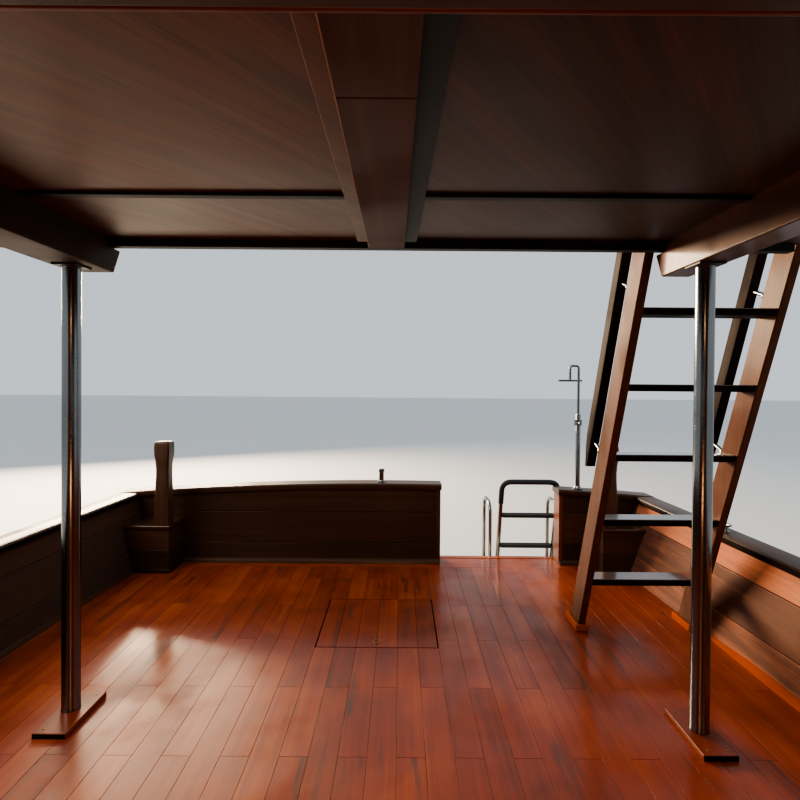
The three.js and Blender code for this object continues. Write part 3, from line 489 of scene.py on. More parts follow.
class Timber:
    """Boards, bars and tubes cut one by one and kept as one mesh; side -1 mirrors its boards to starboard."""

    def __init__(self, seed=0, side=1):
        self.points, self.faces, self.tones, self.grains = [], [], [], []
        self.random = random.Random(seed)
        self.side = side

    def solid(self, points, faces, along=0, tone=None):
        start = len(self.points)
        shift = self.random.uniform(0, 50)
        tone = self.random.random() if tone is None else tone
        for point in points:
            self.points.append(tuple(point))
            self.grains.append(tuple(point[(along + turn) % 3] + shift for turn in range(3)))
            self.tones.append(tone)
        self.faces += [tuple(start + corner for corner in face) for face in faces]

    def across(self, inner, outer):
        return sorted((self.side * inner, self.side * outer))

    def board(self, low, high, along=0, tone=None, place=None):
        """A box between two corners; place moves each of its points."""
        ys = self.across(low[1], high[1])
        corners = [Vector((x, y, z)) for z in (low[2], high[2]) for y in ys for x in (low[0], high[0])]
        self.solid(map(place, corners) if place else corners, BOX_FACES, along, tone)

    def loft(self, rings, along=0, tone=None):
        count = len(rings[0])
        faces = [
            (i * count + k, i * count + (k + 1) % count, (i + 1) * count + (k + 1) % count, (i + 1) * count + k)
            for i in range(len(rings) - 1) for k in range(count)
        ]
        last = (len(rings) - 1) * count
        faces += [tuple(range(count))[::-1], tuple(range(last, last + count))]
        self.solid([point for ring in rings for point in ring], faces, along, tone)

    def prism(self, outline, axis, low, high, along=0, tone=None):
        """An outline that is drawn square to an axis and pulled along it."""
        def at(u, v, depth):
            return Vector({0: (depth, u, v), 1: (u, depth, v), 2: (u, v, depth)}[axis])
        ends = self.across(low, high) if axis == 1 else (low, high)
        self.loft([[at(u, v, depth) for u, v in outline] for depth in ends], along, tone)

    def tube(self, path, radius, sides=16, tone=None):
        path = [Vector(point) for point in path]
        radii = radius if isinstance(radius, (list, tuple)) else [radius] * len(path)
        self.loft(swept_rings(path, radii, sides), along=2, tone=tone)

    def turned(self, foot, along, profile, sides=16, tone=None):
        """A round piece on a straight line, from (distance, radius) pairs."""
        path = [Vector(foot) + reach * Vector(along) for reach, _ in profile]
        self.tube(path, [radius for _, radius in profile], sides, tone)

    def made(self, name, finish, body="boat", replaces=(), bevel=0.0, segments=2):
        mesh = bpy.data.meshes.new(name)
        mesh.from_pydata(self.points, [], self.faces)
        work = bmesh.new()
        work.from_mesh(mesh)
        bmesh.ops.recalc_face_normals(work, faces=work.faces)
        work.to_mesh(mesh)
        work.free()
        carry(mesh, self.grains, self.tones)
        shade_smooth(mesh)
        return piece(name, mesh, finish, body, replaces, bevel, segments)


def carry(mesh, grains, tones):
    grain = mesh.attributes.new("grain", "FLOAT_VECTOR", "POINT")
    grain.data.foreach_set("vector", [value for point in grains for value in point])
    tone = mesh.attributes.new("tone", "FLOAT", "POINT")
    tone.data.foreach_set("value", tones)


print("boards, bars and tubes can be cut")

# %% Paths, rings and single boards


def swept_rings(path, radii, sides):
    """Rings square to a path, turned as little as possible from one to the next."""
    rings = []
    across = None
    for i, point in enumerate(path):
        ahead = path[min(i + 1, len(path) - 1)] - point
        behind = point - path[max(i - 1, 0)]
        along = (ahead.normalized() + behind.normalized()).normalized()
        if across is None:
            across = along.orthogonal().normalized()
        across = (across - along * across.dot(along)).normalized()
        other = along.cross(across)
        turns = [2 * math.pi * k / sides for k in range(sides)]
        rings.append([point + radii[i] * (math.cos(t) * across + math.sin(t) * other) for t in turns])
    return rings


def bent(corners, radius, steps=6):
    """A path through corner points, with each corner turned on a curve."""
    corners = [Vector(corner) for corner in corners]
    path = [corners[0]]
    for before, corner, after in zip(corners, corners[1:], corners[2:]):
        start = corner + (before - corner).normalized() * radius
        end = corner + (after - corner).normalized() * radius
        for step in range(steps + 1):
            t = step / steps
            path.append((1 - t) ** 2 * start + 2 * t * (1 - t) * corner + t * t * end)
    return path + [corners[-1]]


def circle(centre, first, second, radius, count):
    """A closed path round a centre, in the plane of two directions."""
    turns = [2 * math.pi * k / count for k in range(count + 1)]
    return [Vector(centre) + radius * (math.cos(t) * first + math.sin(t) * second) for t in turns]


def lone_board(seed, low, high, name, finish, along=0, tone=None, **more):
    """A piece that is one board."""
    boards = Timber(seed)
    boards.board(low, high, along, tone)
    return boards.made(name, finish, **more)


ALONG, ACROSS, UP = Vector((1, 0, 0)), Vector((0, 1, 0)), Vector((0, 0, 1))


# %% Dressing a solid that has the right shape


def dress(node, finish, along=0, bevel=0.004, segments=2, tone=0.5):
    """A copy of a solid with clean faces, rounded edges and its finish, which stands for the solid."""
    source = solids[node]
    mesh = source.data.copy()
    mesh.materials.clear()
    work = bmesh.new()
    work.from_mesh(mesh)
    bmesh.ops.remove_doubles(work, verts=work.verts, dist=1e-5)
    bmesh.ops.dissolve_limit(work, angle_limit=math.radians(0.6), verts=work.verts, edges=work.edges)
    bmesh.ops.recalc_face_normals(work, faces=work.faces)
    work.to_mesh(mesh)
    work.free()
    shift = sum(map(ord, node)) % 37
    grains = [tuple(v.co[(along + turn) % 3] + shift for turn in range(3)) for v in mesh.vertices]
    carry(mesh, grains, [tone] * len(mesh.vertices))
    shade_smooth(mesh)
    return piece(f"{node}_finished", mesh, finish, source["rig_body"], (node,), bevel, segments)


print("timber tools are ready")

# %% [markdown]
# ## The room it stands in
# The boat floats, so the pale floor lies at its waterline and hides the bottom paint, keel and screw. The
# photograph's light comes in low and soft from astern and starboard: it makes the long glow on the deck and
# lights the inside of the port bulwark. A wide warm lamp does that here, in a pale blue surround, and a large
# soft lamp high up fills the shadows. Two small warm lamps stand for the light in the deckhouse: one
# hangs inside it, and the other shines from its doorway up to the ceiling.

# %% Floor, surround and lamps


def backdrop():
    mesh = bpy.data.meshes.new("floor")
    half = 120
    corners = [(-half, -half, 0), (half, -half, 0), (half, half, 0), (-half, half, 0)]
    mesh.from_pydata(corners, [], [(0, 1, 2, 3)])
    floor = bpy.data.objects.new("floor", mesh)
    finish = Finish("pale_floor", None, Roughness=0.55)
    clouds = finish.noise(finish.place() * (0.15, 0.15, 0.15))
    finish.set("Base Color", finish.mix(clouds, (0.60, 0.61, 0.62), (0.64, 0.65, 0.65)))
    mesh.materials.append(finish.material)
    scene.collection.objects.link(floor)


def pale_sky(strength):
    world = bpy.data.worlds.new("pale_sky")
    world.use_nodes = True
    sky = world.node_tree.nodes["Background"]
    sky.inputs["Color"].default_value = (0.86, 0.93, 1.0, 1)
    sky.inputs["Strength"].default_value = strength
    scene.world = world


def lamp(name, place, aim, size, power, colour):
    light = bpy.data.lights.new(name, "AREA")
    light.shape = "RECTANGLE"
    light.size, light.size_y = size
    light.energy = power
    light.color = colour
    holder = bpy.data.objects.new(name, light)
    holder.location = place
    holder.rotation_euler = (Vector(aim) - Vector(place)).to_track_quat("-Z", "Y").to_euler()
    scene.collection.objects.link(holder)


backdrop()
pale_sky(0.75)
lamp("low_sun", (-19.0, -8.6, 5.7), (-5.0, 0.5, 1.4), (8.6, 3.1), 5300, (1.0, 0.76, 0.52))
lamp("high_soft", (4.0, -9.0, 13.0), (0.0, 0.0, 1.0), (9.0, 9.0), 1500, (1.0, 0.97, 0.92))
lamp("saloon_lamp", (-2.2, 0.0, 3.0), (-2.2, 0.0, 0.0), (1.2, 0.6), 21, (1.0, 0.55, 0.28))
lamp("doorway_glow", (-2.3, 0.0, 1.5), (-3.8, 0.0, 3.1), (0.9, 0.3), 8, (1.0, 0.44, 0.20))
scene.view_settings.look = "AgX - Medium High Contrast"

# %% [markdown]
# ## The hull's form
# A hull is drawn as a few stations: the half-breadth at the sheer and at the waterline and the depth of the
# bottom. A smooth curve through the stations gives every other section, and the flare and the round of the
# bilge give the section its shape. Planks, rails, caps and decks are all bent round this one form.

# %% Hull form
STERN = -7.55
STEM = 6.95
NOSE = 0.055
CAP_AFT = 1.56
CAP_RISE = 0.99
CAP_THICK = 0.045
LINING = 0.12
SKIN = 0.03
DECK = 1.0
STEP = 2.6
FORE_FOOT = 1.25
FORE_SLOPE = 0.1
HOUSE_AFT = -3.668
HOOK_ALONG = 0.972
STATIONS = (  # along, half-breadth at the sheer, at the waterline, bottom
    (0.00, 2.150, 1.980, -0.200), (0.12, 2.200, 2.080, -0.330), (0.30, 2.260, 2.180, -0.560),
    (0.50, 2.270, 2.170, -0.690), (0.65, 2.200, 1.960, -0.710), (0.78, 1.920, 1.480, -0.700),
    (0.88, 1.420, 0.900, -0.660), (0.95, 0.830, 0.420, -0.610), (1.00, NOSE, NOSE, -0.550),
)


def station(along):
    """Sheer, water and bottom at a share of the length, on a smooth curve through the stations."""
    along = min(max(along, 0.0), 1.0)
    i = next(k for k in range(1, len(STATIONS)) if along <= STATIONS[k][0])
    first, second = STATIONS[i - 1], STATIONS[i]
    before = STATIONS[i - 2] if i > 1 else second
    after = STATIONS[i + 1] if i + 1 < len(STATIONS) else first
    half = (second[0] - first[0]) / 2
    w0, w1 = half / (first[0] - before[0]), half / (after[0] - second[0])
    p = (along - first[0]) / (second[0] - first[0])
    shares = (
        (before, -w0 * p ** 3 + 2 * w0 * p ** 2 - w0 * p),
        (first, (1 + w0) * p ** 3 + (-1.5 - 2 * w0) * p ** 2 + (w0 - 0.5) * p + 1),
        (second, (-1 - w1) * p ** 3 + (1.5 + w1) * p ** 2 + 0.5 * p),
        (after, w1 * p ** 3 - w1 * p ** 2),
    )
    return [sum(row[column] * share for row, share in shares) for column in (1, 2, 3)]


def stem_x(z):
    return STEM + z * (0.36 if z > 0 else 1.5)


def cap_top(x):
    return CAP_AFT + CAP_RISE * (max(0.0, x + 1.0) / 8.9) ** 2


def under_cap(x):
    return cap_top(x) - CAP_THICK


def rail_middle(x):
    return 0.905 + 0.75 * (cap_top(x) - CAP_AFT)


def fore_deck_at(x):
    return FORE_FOOT + FORE_SLOPE * (x - STEP)


def hook_x(z):
    """Where the timbers along the side end, just behind the stem."""
    return STERN + HOOK_ALONG * (stem_x(z) - STERN)


def half_breadth(x, z):
    sheer, water, bottom = station((x - STERN) / (stem_x(z) - STERN))
    if z >= 0:
        return water + (sheer - water) * (z / cap_top(x)) ** 1.15
    return NOSE + (water - NOSE) * max(0.0, 1 - min(1.0, z / bottom) ** 2.4) ** 0.6


def hull_point(along, level, inward=0.0):
    """The port side's point at a share of the length, on a level that may follow the sheer."""
    x = STERN
    for _ in range(6):
        z = level(x) if callable(level) else level
        x = STERN + along * (stem_x(z) - STERN)
    return Vector((x, max(half_breadth(x, z) - inward, 0.004), z))


def spread(low, high, count):
    return [low + (high - low) * i / count for i in range(count + 1)]


def spans(values):
    """Each value with the next one."""
    return list(zip(values, values[1:]))


SIDES = (("starboard", -1), ("port", 1))


print("half-breadth amidships", round(half_breadth(0, 0.7), 3), "solid", round(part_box("hull")[1].y, 3))

# %% [markdown]
# ## Planking the hull
# Real topsides are long strakes that follow the sheer, with a fine seam between each two. One shell carries
# them here: it is swept from the transom to the stem through sections that have a small V at every seam, so
# the seams are shape and not only shading. Below the waterline the shell is plain, because the floor hides it.

# %% Hull planking
STRAKES = 12
SEAM_HALF = 0.004
SEAM_DEPTH = 0.003
BOTTOM_SHARES = (1.0, 0.97, 0.92, 0.85, 0.76, 0.65, 0.52, 0.38, 0.24, 0.1)


def strake_level(share):
    return lambda x: share * under_cap(x)


def side_section(along):
    """The port side's outer points from the keel to the cap, with a seam between strakes."""
    bottom = station(along)[2]
    points = [hull_point(along, share * bottom) for share in BOTTOM_SHARES]
    edge = SEAM_HALF / 1.5
    for strake in range(STRAKES):
        low, high = strake / STRAKES, (strake + 1) / STRAKES
        points.append(hull_point(along, strake_level(low + edge)))
        points.append(hull_point(along, strake_level(high - edge)))
        if strake < STRAKES - 1:
            points.append(hull_point(along, strake_level(high), SEAM_DEPTH))
    return points


def inner_section(along):
    bottom = station(along)[2]
    levels = [share * bottom for share in BOTTOM_SHARES[::3]]
    levels += [strake_level(share) for share in (0.0, 0.5, 0.99)]
    return [hull_point(along, level, SKIN) for level in levels]


def mirror(points):
    return [Vector((point.x, -point.y, point.z)) for point in points]


def hull_ring(along):
    outer, inner = side_section(along), inner_section(along)
    return outer[::-1] + mirror(outer) + mirror(inner)[::-1] + inner


def hull_planking():
    shell = Timber(1)
    alongs = spread(0, 0.6, 26) + spread(0.6, 0.9, 22)[1:] + spread(0.9, 1, 14)[1:]
    shell.loft([hull_ring(along) for along in alongs], tone=0.5)
    return shell.made("hull_planking", HULL_PAINT, replaces=("hull",))


def stern_planking():
    boards = Timber(2)
    for low, high in spans((-0.2, -0.05, 0.13, 0.31, 0.49, 0.67, 0.85, 0.972)):
        side = [(half_breadth(STERN, z) - 0.006, z) for z in (low + 0.0015, high - 0.0015)]
        outline = [(-y, z) for y, z in side] + side[::-1]
        boards.prism(outline, 0, STERN - 0.002, STERN + 0.04, along=1, tone=0.5)
    return boards.made("stern_planking", HULL_PAINT, bevel=0.003)


STEM_SECTION = (  # behind the front, across
    (0.13, -0.058), (0.02, -0.052), (0.0, -0.03), (0.0, 0.03), (0.02, 0.052), (0.13, 0.058),
)


def stem_post():
    post = Timber(3)
    levels = spread(-0.55, cap_top(7.8) + 0.03, 24)
    post.loft([
        [Vector((stem_x(z) + 0.035 - back, y, z)) for back, y in STEM_SECTION] for z in levels
    ], along=2, tone=0.4)
    return post.made("stem_post", HULL_PAINT, bevel=0.003)


for made in (hull_planking(), stern_planking(), stem_post()):
    print(made.name, len(made.data.polygons), "faces")

# %% [markdown]
# ## Bulwarks, caps and rub rails
# Inside, the bulwark is lined with three rows of wide boards that lean in a little towards their foot. Beside
# the after deck the port boards are painted with sunlight, the top row most, and the starboard ones with shade.
# A thick cap with rounded edges lies on top, with a thin black bead of painted shade along its inner edge, and
# a small strip closes the corner of deck and lining: bright orange to port for painted sunlight, dark to
# starboard for painted shade. Outside, a dark rub rail of half-round timber takes the knocks of a quay. All of
# them are short sections swept along the hull's form, so they keep its sweep without a joint.

# %% Bulwark linings
TRANSOM_INNER = -7.35
BEHIND_TRANSOM = -7.30
LINING_AFT = STERN + 0.012
LINING_ROWS = (0.0, 0.30, 0.75, 1.0)
LINING_JOINTS = ((-3.1, STEP), (-4.9, -0.6, STEP), (-2.2, STEP))
LINING_LEAN = {-1: 0.045, 1: 0.120}
# Beside the after deck the port rows' tones are painted sunlight, the top row most, and the starboard rows'
# tones are painted shade. The END_TONES give both copies a like middle tone elsewhere.
LINING_SUN_AND_SHADE_TONES = {-1: (0.24, 0.34, 0.34), 1: (0.48, 0.52, 1.02)}
END_TONES = {-1: 0.40, 1: 0.04}
LEAN_LENGTH = 3.7
BEHIND_LINING = 0.055
BUTT_GAP = 0.001
ROW_GAP = 0.0012


def lining_face(sign, x, z):
    """Half-breadth of the lining's inner face, which leans in towards its foot beside the after deck."""
    rise = (z - DECK) / (under_cap(x) - DECK)
    share = max(0.0, min(1.0, -x / LEAN_LENGTH)) * max(0.0, 1.0 - rise)
    return half_breadth(x, z) - LINING - LINING_LEAN[sign] * share


def lining_row(boards, sign, row, x_from, x_to, fore=False):
    """One row of boards between two shares of the bulwark's height."""
    low, high = LINING_ROWS[row], LINING_ROWS[row + 1]
    rings = []
    for x in spread(x_from, x_to, max(6, round((x_to - x_from) / 0.12))):
        foot = fore_deck_at(x) if fore else DECK
        ring = []
        for share, inner in ((low, True), (high, True), (high, False), (low, False)):
            z = foot + share * (under_cap(x) - foot) + (ROW_GAP if share == low else -ROW_GAP)
            y = lining_face(sign, x, z) if inner else half_breadth(x, z) - BEHIND_LINING
            ring.append(Vector((x, sign * max(y, 0.02), z)))
        rings.append(ring)
    beside_deck = not fore and x_from > BEHIND_TRANSOM
    tone = LINING_SUN_AND_SHADE_TONES[sign][row] if beside_deck else END_TONES[sign]
    boards.loft(rings, tone=tone + boards.random.uniform(-0.08, 0.08))


def bulwark_lining(side, sign):
    boards = Timber(10 + sign)
    for row, joints in enumerate(LINING_JOINTS):
        for x_from, x_to in spans((LINING_AFT, BEHIND_TRANSOM, *joints)):
            lining_row(boards, sign, row, x_from + BUTT_GAP, x_to - BUTT_GAP)
        lining_row(boards, sign, row, STEP + BUTT_GAP, hook_x(2.3) - 0.02, fore=True)
    # Starboard takes the copy painted with shade, and port takes the copy painted with sunlight.
    finish = SHADED_LINING if sign < 0 else SUNLIT_LINING
    return boards.made(f"bulwark_lining_{side}", finish, replaces=(f"bulwark_{side}",), bevel=0.004)


for side, sign in SIDES:
    print(bulwark_lining(side, sign).name)

# %% Caps, rub rails and corner strips


def swept_side(boards, sign, profile, level, along_from, along_to, count, tone=None, fade=0.0):
    """A profile of (outward, up) pairs swept along the hull at a level, and thinned to the bow end by fade."""
    rings = []
    for along in spread(along_from, along_to, count):
        foot = hull_point(along, level)
        share = min(1.0, 0.12 + (along_to - along) / fade) if fade else 1.0
        rings.append([
            Vector((foot.x, sign * (half_breadth(foot.x, foot.z + up) + share * outward), foot.z + up))
            for outward, up in profile
        ])
    boards.loft(rings, tone=tone)


CAP_PROFILE = (
    (-0.138, 0.0), (-0.143, 0.010), (-0.143, 0.032), (-0.136, 0.042), (-0.125, 0.045),
    (0.006, 0.045), (0.017, 0.041), (0.022, 0.032), (0.022, 0.010), (0.017, 0.0),
)
# A thin black bead that paints shade along the cap's inner edge.
SHADE_BEAD_PROFILE = (
    (-0.1455, 0.006), (-0.1465, 0.010), (-0.1465, 0.030), (-0.1455, 0.034), (-0.141, 0.034), (-0.141, 0.006),
)
RAIL_PROFILE = (
    (0.0, -0.054), (0.022, -0.052), (0.038, -0.036), (0.045, -0.012), (0.045, 0.012),
    (0.038, 0.036), (0.022, 0.052), (0.0, 0.054),
)
SIDE_STEPS = 110


def cap_rail(side, sign):
    boards, bead = Timber(20 + sign), Timber(22 + sign)
    start = (-7.325 - STERN) / (stem_x(CAP_AFT) - STERN)
    swept_side(boards, sign, CAP_PROFILE, under_cap, start, HOOK_ALONG, SIDE_STEPS, tone=0.55)
    # The bead is painted shade on the cap's inner edge.
    swept_side(bead, sign, SHADE_BEAD_PROFILE, under_cap, start, HOOK_ALONG, SIDE_STEPS, tone=0.2)
    bead.made(f"cap_shade_bead_{side}", BLACK_WOOD_AND_SHADE)
    return boards.made(f"cap_board_{side}", DARK_WOOD, replaces=(f"cap_rail_{side}",))


def rub_rail(side, sign):
    boards = Timber(24 + sign)
    swept_side(boards, sign, RAIL_PROFILE, rail_middle, 0.0, 0.995, SIDE_STEPS, tone=0.5, fade=0.03)
    return boards.made(f"rub_timber_{side}", DARK_PAINT_AND_SHADE, replaces=(f"rub_rail_{side}",))


CHOCK_CLEAR = 1.926
FOOT_WIDTH = {-1: 0.5, 1: 1.0}
FOOT_SECTION = ((0.002, 0.0), (0.002, 0.030), (-0.002, 0.0305), (-0.031, 0.0060), (-0.033, 0.0))


def foot_moulding(side, sign):
    """A small rounded strip in the corner of deck and lining, which keeps clear of the ladder's chock."""
    boards = Timber(28 + sign)
    for x_from, x_to in spans((TRANSOM_INNER, -3.9, 0.0)):
        rings = []
        for x in spread(x_from + 0.002, x_to - 0.002, 24):
            y = max(lining_face(sign, x, DECK), CHOCK_CLEAR)
            outline = [(y + FOOT_WIDTH[sign] * out, DECK + up) for out, up in FOOT_SECTION]
            rings.append([Vector((x, sign * across, z)) for across, z in outline])
        boards.loft(rings, tone=0.85)
    # The port strip's bright orange is painted sunlight, and the starboard strip's dark wood is painted shade.
    return boards.made(f"foot_moulding_{side}", DARK_WOOD if sign < 0 else SUNLIT_STRIP_WOOD)


for side, sign in SIDES:
    for maker in (cap_rail, rub_rail, foot_moulding):
        print(maker(side, sign).name)


def breasthook():
    """The block in the bow, with its sides kept behind the planking."""
    block = dress("breasthook", DARK_WOOD, bevel=0.0)
    for vertex in block.data.vertices:
        x, y, z = vertex.co
        if z < under_cap(x) - 0.001:
            reach = max(half_breadth(x, z) - BEHIND_LINING, 0.004)
            vertex.co.y = max(-reach, min(reach, y))
    return block


print(breasthook().name)

# %% [markdown]
# ## The decks
# Deck planks run fore and aft, each about 114 mm wide, with dark compound in the seams. They have one length,
# and the butt joints step by half a plank from each row to the next. One routine lays every deck: it walks
# across the boat row by row, leaves the hatch free and trims the outer rows to the hull's curve.

# %% Plank decks
PLANK = 0.685 / 6
ROW_START = -0.36
SEAM_WIDTH = 0.0015
PLANK_THICK = 0.02
PLANK_LENGTH = 1.01
PLANK_EDGE = {"bevel": 0.0005, "segments": 1}
FIRST_JOINT = -4.96
DECK_UNDER = 0.70
HATCH_HOLE = (-6.57, -5.87, -0.36, 0.325)


def row_edges(low, high):
    first = math.floor((low - ROW_START) / PLANK)
    last = math.ceil((high - ROW_START) / PLANK)
    return [(ROW_START + k * PLANK, ROW_START + (k + 1) * PLANK) for k in range(first, last)]


def stretches(x_from, x_to, y0, y1, skip):
    """The parts of a row that lie outside the hatch."""
    if skip is None or y1 <= skip[2] + 0.01 or y0 >= skip[3] - 0.01:
        return [(x_from, x_to)]
    return [(x_from, skip[0]), (skip[1], x_to)]


def plank_lengths(row, x_from, x_to, length=PLANK_LENGTH):
    """Planks of one length, whose joints step by half a plank from one row to the next."""
    first = FIRST_JOINT + (row % 2) * length / 2
    count = math.ceil((x_from + 0.1 - first) / length)
    cuts = [x_from]
    while first + count * length < x_to - 0.1:
        cuts.append(first + count * length)
        count += 1
    return spans(cuts + [x_to])


def one_plank(boards, x_from, x_to, y0, y1, half_at, top, tone):
    """A plank whose outer edge is trimmed to the hull's side."""
    gap = SEAM_WIDTH / 2
    rings = []
    for x in spread(x_from + gap, x_to - gap, 1 if abs(y0) < 1.2 and half_at(x_to) > 1.9 else 8):
        limit = half_at(x)
        low, high = max(y0 + gap, -limit), min(y1 - gap, limit)
        if high - low >= 0.008:
            under, over = top(x) - PLANK_THICK, top(x)
            outline = ((low, under), (high, under), (high, over), (low, over))
            rings.append([Vector((x, y, z)) for y, z in outline])
    if len(rings) > 1:
        boards.loft(rings, tone=tone)


def lay_deck(boards, x_from, x_to, half_at, top, skip=None):
    widest = max(half_at(x) for x in spread(x_from, x_to, 12))
    for y0, y1 in row_edges(-widest, widest):
        row = round((y0 - ROW_START) / PLANK)
        for start, end in stretches(x_from, x_to, y0, y1, skip):
            for a, b in plank_lengths(row, start, end):
                one_plank(boards, a, b, y0, y1, half_at, top, boards.random.random())


print("planks are", round(PLANK, 4), "wide")

# %% The decks and what lies under them


def inside_hull(x, z):
    return half_breadth(x, z) - SKIN - 0.02


def inside_at_deck(x):
    return inside_hull(x, DECK)


def level_deck(_):
    return DECK


def after_deck():
    boards = Timber(31)
    boards.random.uniform(0, 1)  # a draw that only moves the tones on
    lay_deck(boards, TRANSOM_INNER + 0.10, HOUSE_AFT, inside_at_deck, level_deck, HATCH_HOLE)
    half = half_breadth(TRANSOM_INNER, DECK) - SKIN
    low, high = (STERN + 0.04, -half, DECK - 0.03), (TRANSOM_INNER + 0.098, half, DECK)
    boards.board(low, high, along=1, tone=0.75)
    return boards.made("after_deck_planks", DECK_WOOD, replaces=("aft_deck",), **PLANK_EDGE)


def midship_deck():
    boards = Timber(32)
    lay_deck(boards, HOUSE_AFT, STEP, inside_at_deck, level_deck)
    return boards.made("midship_deck_planks", DECK_WOOD, replaces=("house_sole",), **PLANK_EDGE)


def fore_deck():
    boards = Timber(33)
    lay_deck(boards, STEP, hook_x(1.7), lambda x: inside_hull(x, fore_deck_at(x)), fore_deck_at)
    half = half_breadth(STEP, DECK) - SKIN - 0.03
    low, high = (STEP - 0.03, -half, DECK + 0.001), (STEP + 0.002, half, FORE_FOOT - 0.003)
    boards.board(low, high, along=1, tone=0.4)
    return boards.made("foredeck_planks", DECK_WOOD, bevel=0.0012, segments=1)


def under_decks():
    """What lies under the planks: it shows only as the dark compound in the seams and in the locker."""
    base = Timber(34)
    aft, fore, starboard, port = HATCH_HOLE
    low, top = DECK_UNDER, DECK - 0.0022
    half = 1.5
    for x_from, x_to, y0, y1 in (
        (STERN + 0.05, aft, -half, half), (fore, STEP - 0.04, -half, half),
        (aft, fore, -half, starboard), (aft, fore, port, half),
    ):
        base.board((x_from, y0, low), (x_to, y1, top))
    base.board((aft, starboard, low - 0.02), (fore, port, low + 0.02))
    for _, sign in SIDES:
        rings = []
        for x in spread(STERN + 0.05, STEP - 0.04, 30):
            out = inside_hull(x, low)
            outline = ((half, low), (out, low), (out, top), (half, top))
            rings.append([Vector((x, sign * y, z)) for y, z in outline])
        base.loft(rings)
    rings = []
    for x in spread(STEP - 0.02, 7.3, 40):
        z = fore_deck_at(x) - 0.006
        out = max(inside_hull(x, z - 0.06), 0.01)
        rings.append([Vector((x, y, h)) for y, h in ((-out, z - 0.06), (out, z - 0.06), (out, z), (-out, z))])
    base.loft(rings)
    return base.made("deck_bearers", SEAM)


def gateway_sill():
    low, high = (STERN - 0.004, GATE[-1], DECK - 0.028), (STERN + 0.06, GATE[1], DECK + 0.004)
    return lone_board(35, low, high, "gateway_sill", DECK_WOOD, along=1, tone=0.9, bevel=0.004)


GATE = {-1: 0.433, 1: 1.405}
for made in (after_deck(), midship_deck(), fore_deck(), under_decks(), gateway_sill()):
    print(made.name, len(made.data.polygons), "faces")

# %% [markdown]
# ## The transom, quarter boxes and samson posts
# The transom rises above the deck in two pieces with a gateway between them. It is built like the bulwark, in
# three rows of boards under a cap that is a little higher in the middle. In each corner stands a small box with
# an overhanging lid, and on it the samson post, which is waisted so that a mooring line can't slip off.

# %% Transom
TRANSOM_OUTER = -7.50
ROW_TOPS = (1.165, 1.415)
TRANSOM_CAP = (  # along, above the boards
    (-7.524, 0.008), (-7.524, 0.036), (-7.514, 0.045), (-7.340, 0.045),
    (-7.329, 0.036), (-7.329, 0.010), (-7.334, 0.0), (-7.518, 0.0),
)
CORNER_STRIP = ((0.0, 0.0), (0.032, 0.0), (0.028, 0.020), (0.014, 0.034), (0.0, 0.038))


def transom_top(y):
    return CAP_AFT + 0.090 - 0.080 * (y / 2.05) ** 2


def transom_boards(side, sign):
    gate = GATE[sign]
    corner = sign * (half_breadth(TRANSOM_OUTER, 1.5) - LINING - 0.003)
    low, high = sorted((gate, corner))
    boards = Timber(40 + sign)
    for z0, z1 in spans((DECK, *ROW_TOPS)):
        boards.board((TRANSOM_OUTER, low, z0 + ROW_GAP), (TRANSOM_INNER, high, z1 - ROW_GAP), along=1)
    foot = ROW_TOPS[1] + ROW_GAP
    crown = [(y, transom_top(y) - CAP_THICK) for y in spread(low, high, 14)]
    outline = [(low, foot), (high, foot)] + crown[::-1]
    boards.prism(outline, 0, TRANSOM_OUTER, TRANSOM_INNER, along=1, tone=0.5)
    boards.made(f"transom_boards_{side}", DARK_WOOD, replaces=(f"transom_{side}",), bevel=0.004)
    strip = Timber(48 + sign)
    outline = [(TRANSOM_INNER + fore, DECK + up) for fore, up in CORNER_STRIP]
    strip.prism(outline, 1, low + 0.002, high - 0.002, along=1, tone=0.7)
    strip.made(f"transom_moulding_{side}", DARK_WOOD)


def transom_trim(side, sign):
    """The cap, and the post at the gateway."""
    gate = GATE[sign]
    cap = Timber(43 + sign)
    low, high = sorted((gate - 0.012 * sign, sign * (half_breadth(STERN, CAP_AFT) + 0.020)))
    rings = []
    for y in spread(low, high, 30):
        rings.append([Vector((x, y, transom_top(y) - CAP_THICK + up)) for x, up in TRANSOM_CAP])
    cap.loft(rings, along=1, tone=0.55)
    cap.made(f"transom_cap_{side}", DARK_WOOD, bevel=0.0015)
    low, high = sorted((gate - 0.004 * sign, gate + 0.030 * sign))
    foot, top = (TRANSOM_OUTER - 0.004, low, DECK), (TRANSOM_INNER + 0.006, high, transom_top(gate) - CAP_THICK)
    # The port post is lighter wood for painted sunlight, and the starboard one is dark for painted shade.
    finish = DARK_WOOD if sign < 0 else WARM_WOOD
    lone_board(46 + sign, foot, top, f"gate_post_{side}", finish, along=2, tone=0.75, bevel=0.005)


for side, sign in SIDES:
    transom_boards(side, sign)
    transom_trim(side, sign)
print("transom is built")

# %% Quarter boxes and samson posts
BOX_AFT, BOX_FORE, BOX_INNER, BOX_TOP = -7.345, -7.060, 1.655, 1.362
LID_UNDER = BOX_TOP - 0.024
BOLLARD = (-7.122, 1.718)
BOLLARD_PROFILE = (  # height, half width, corner cut
    (0.000, 0.055, 0.003), (0.020, 0.055, 0.006), (0.200, 0.055, 0.008), (0.290, 0.052, 0.012),
    (0.370, 0.0495, 0.013), (0.420, 0.049, 0.013), (0.480, 0.052, 0.013), (0.540, 0.0585, 0.010),
    (0.600, 0.059, 0.010), (0.625, 0.0575, 0.010), (0.635, 0.053, 0.009), (0.640, 0.047, 0.008),
)


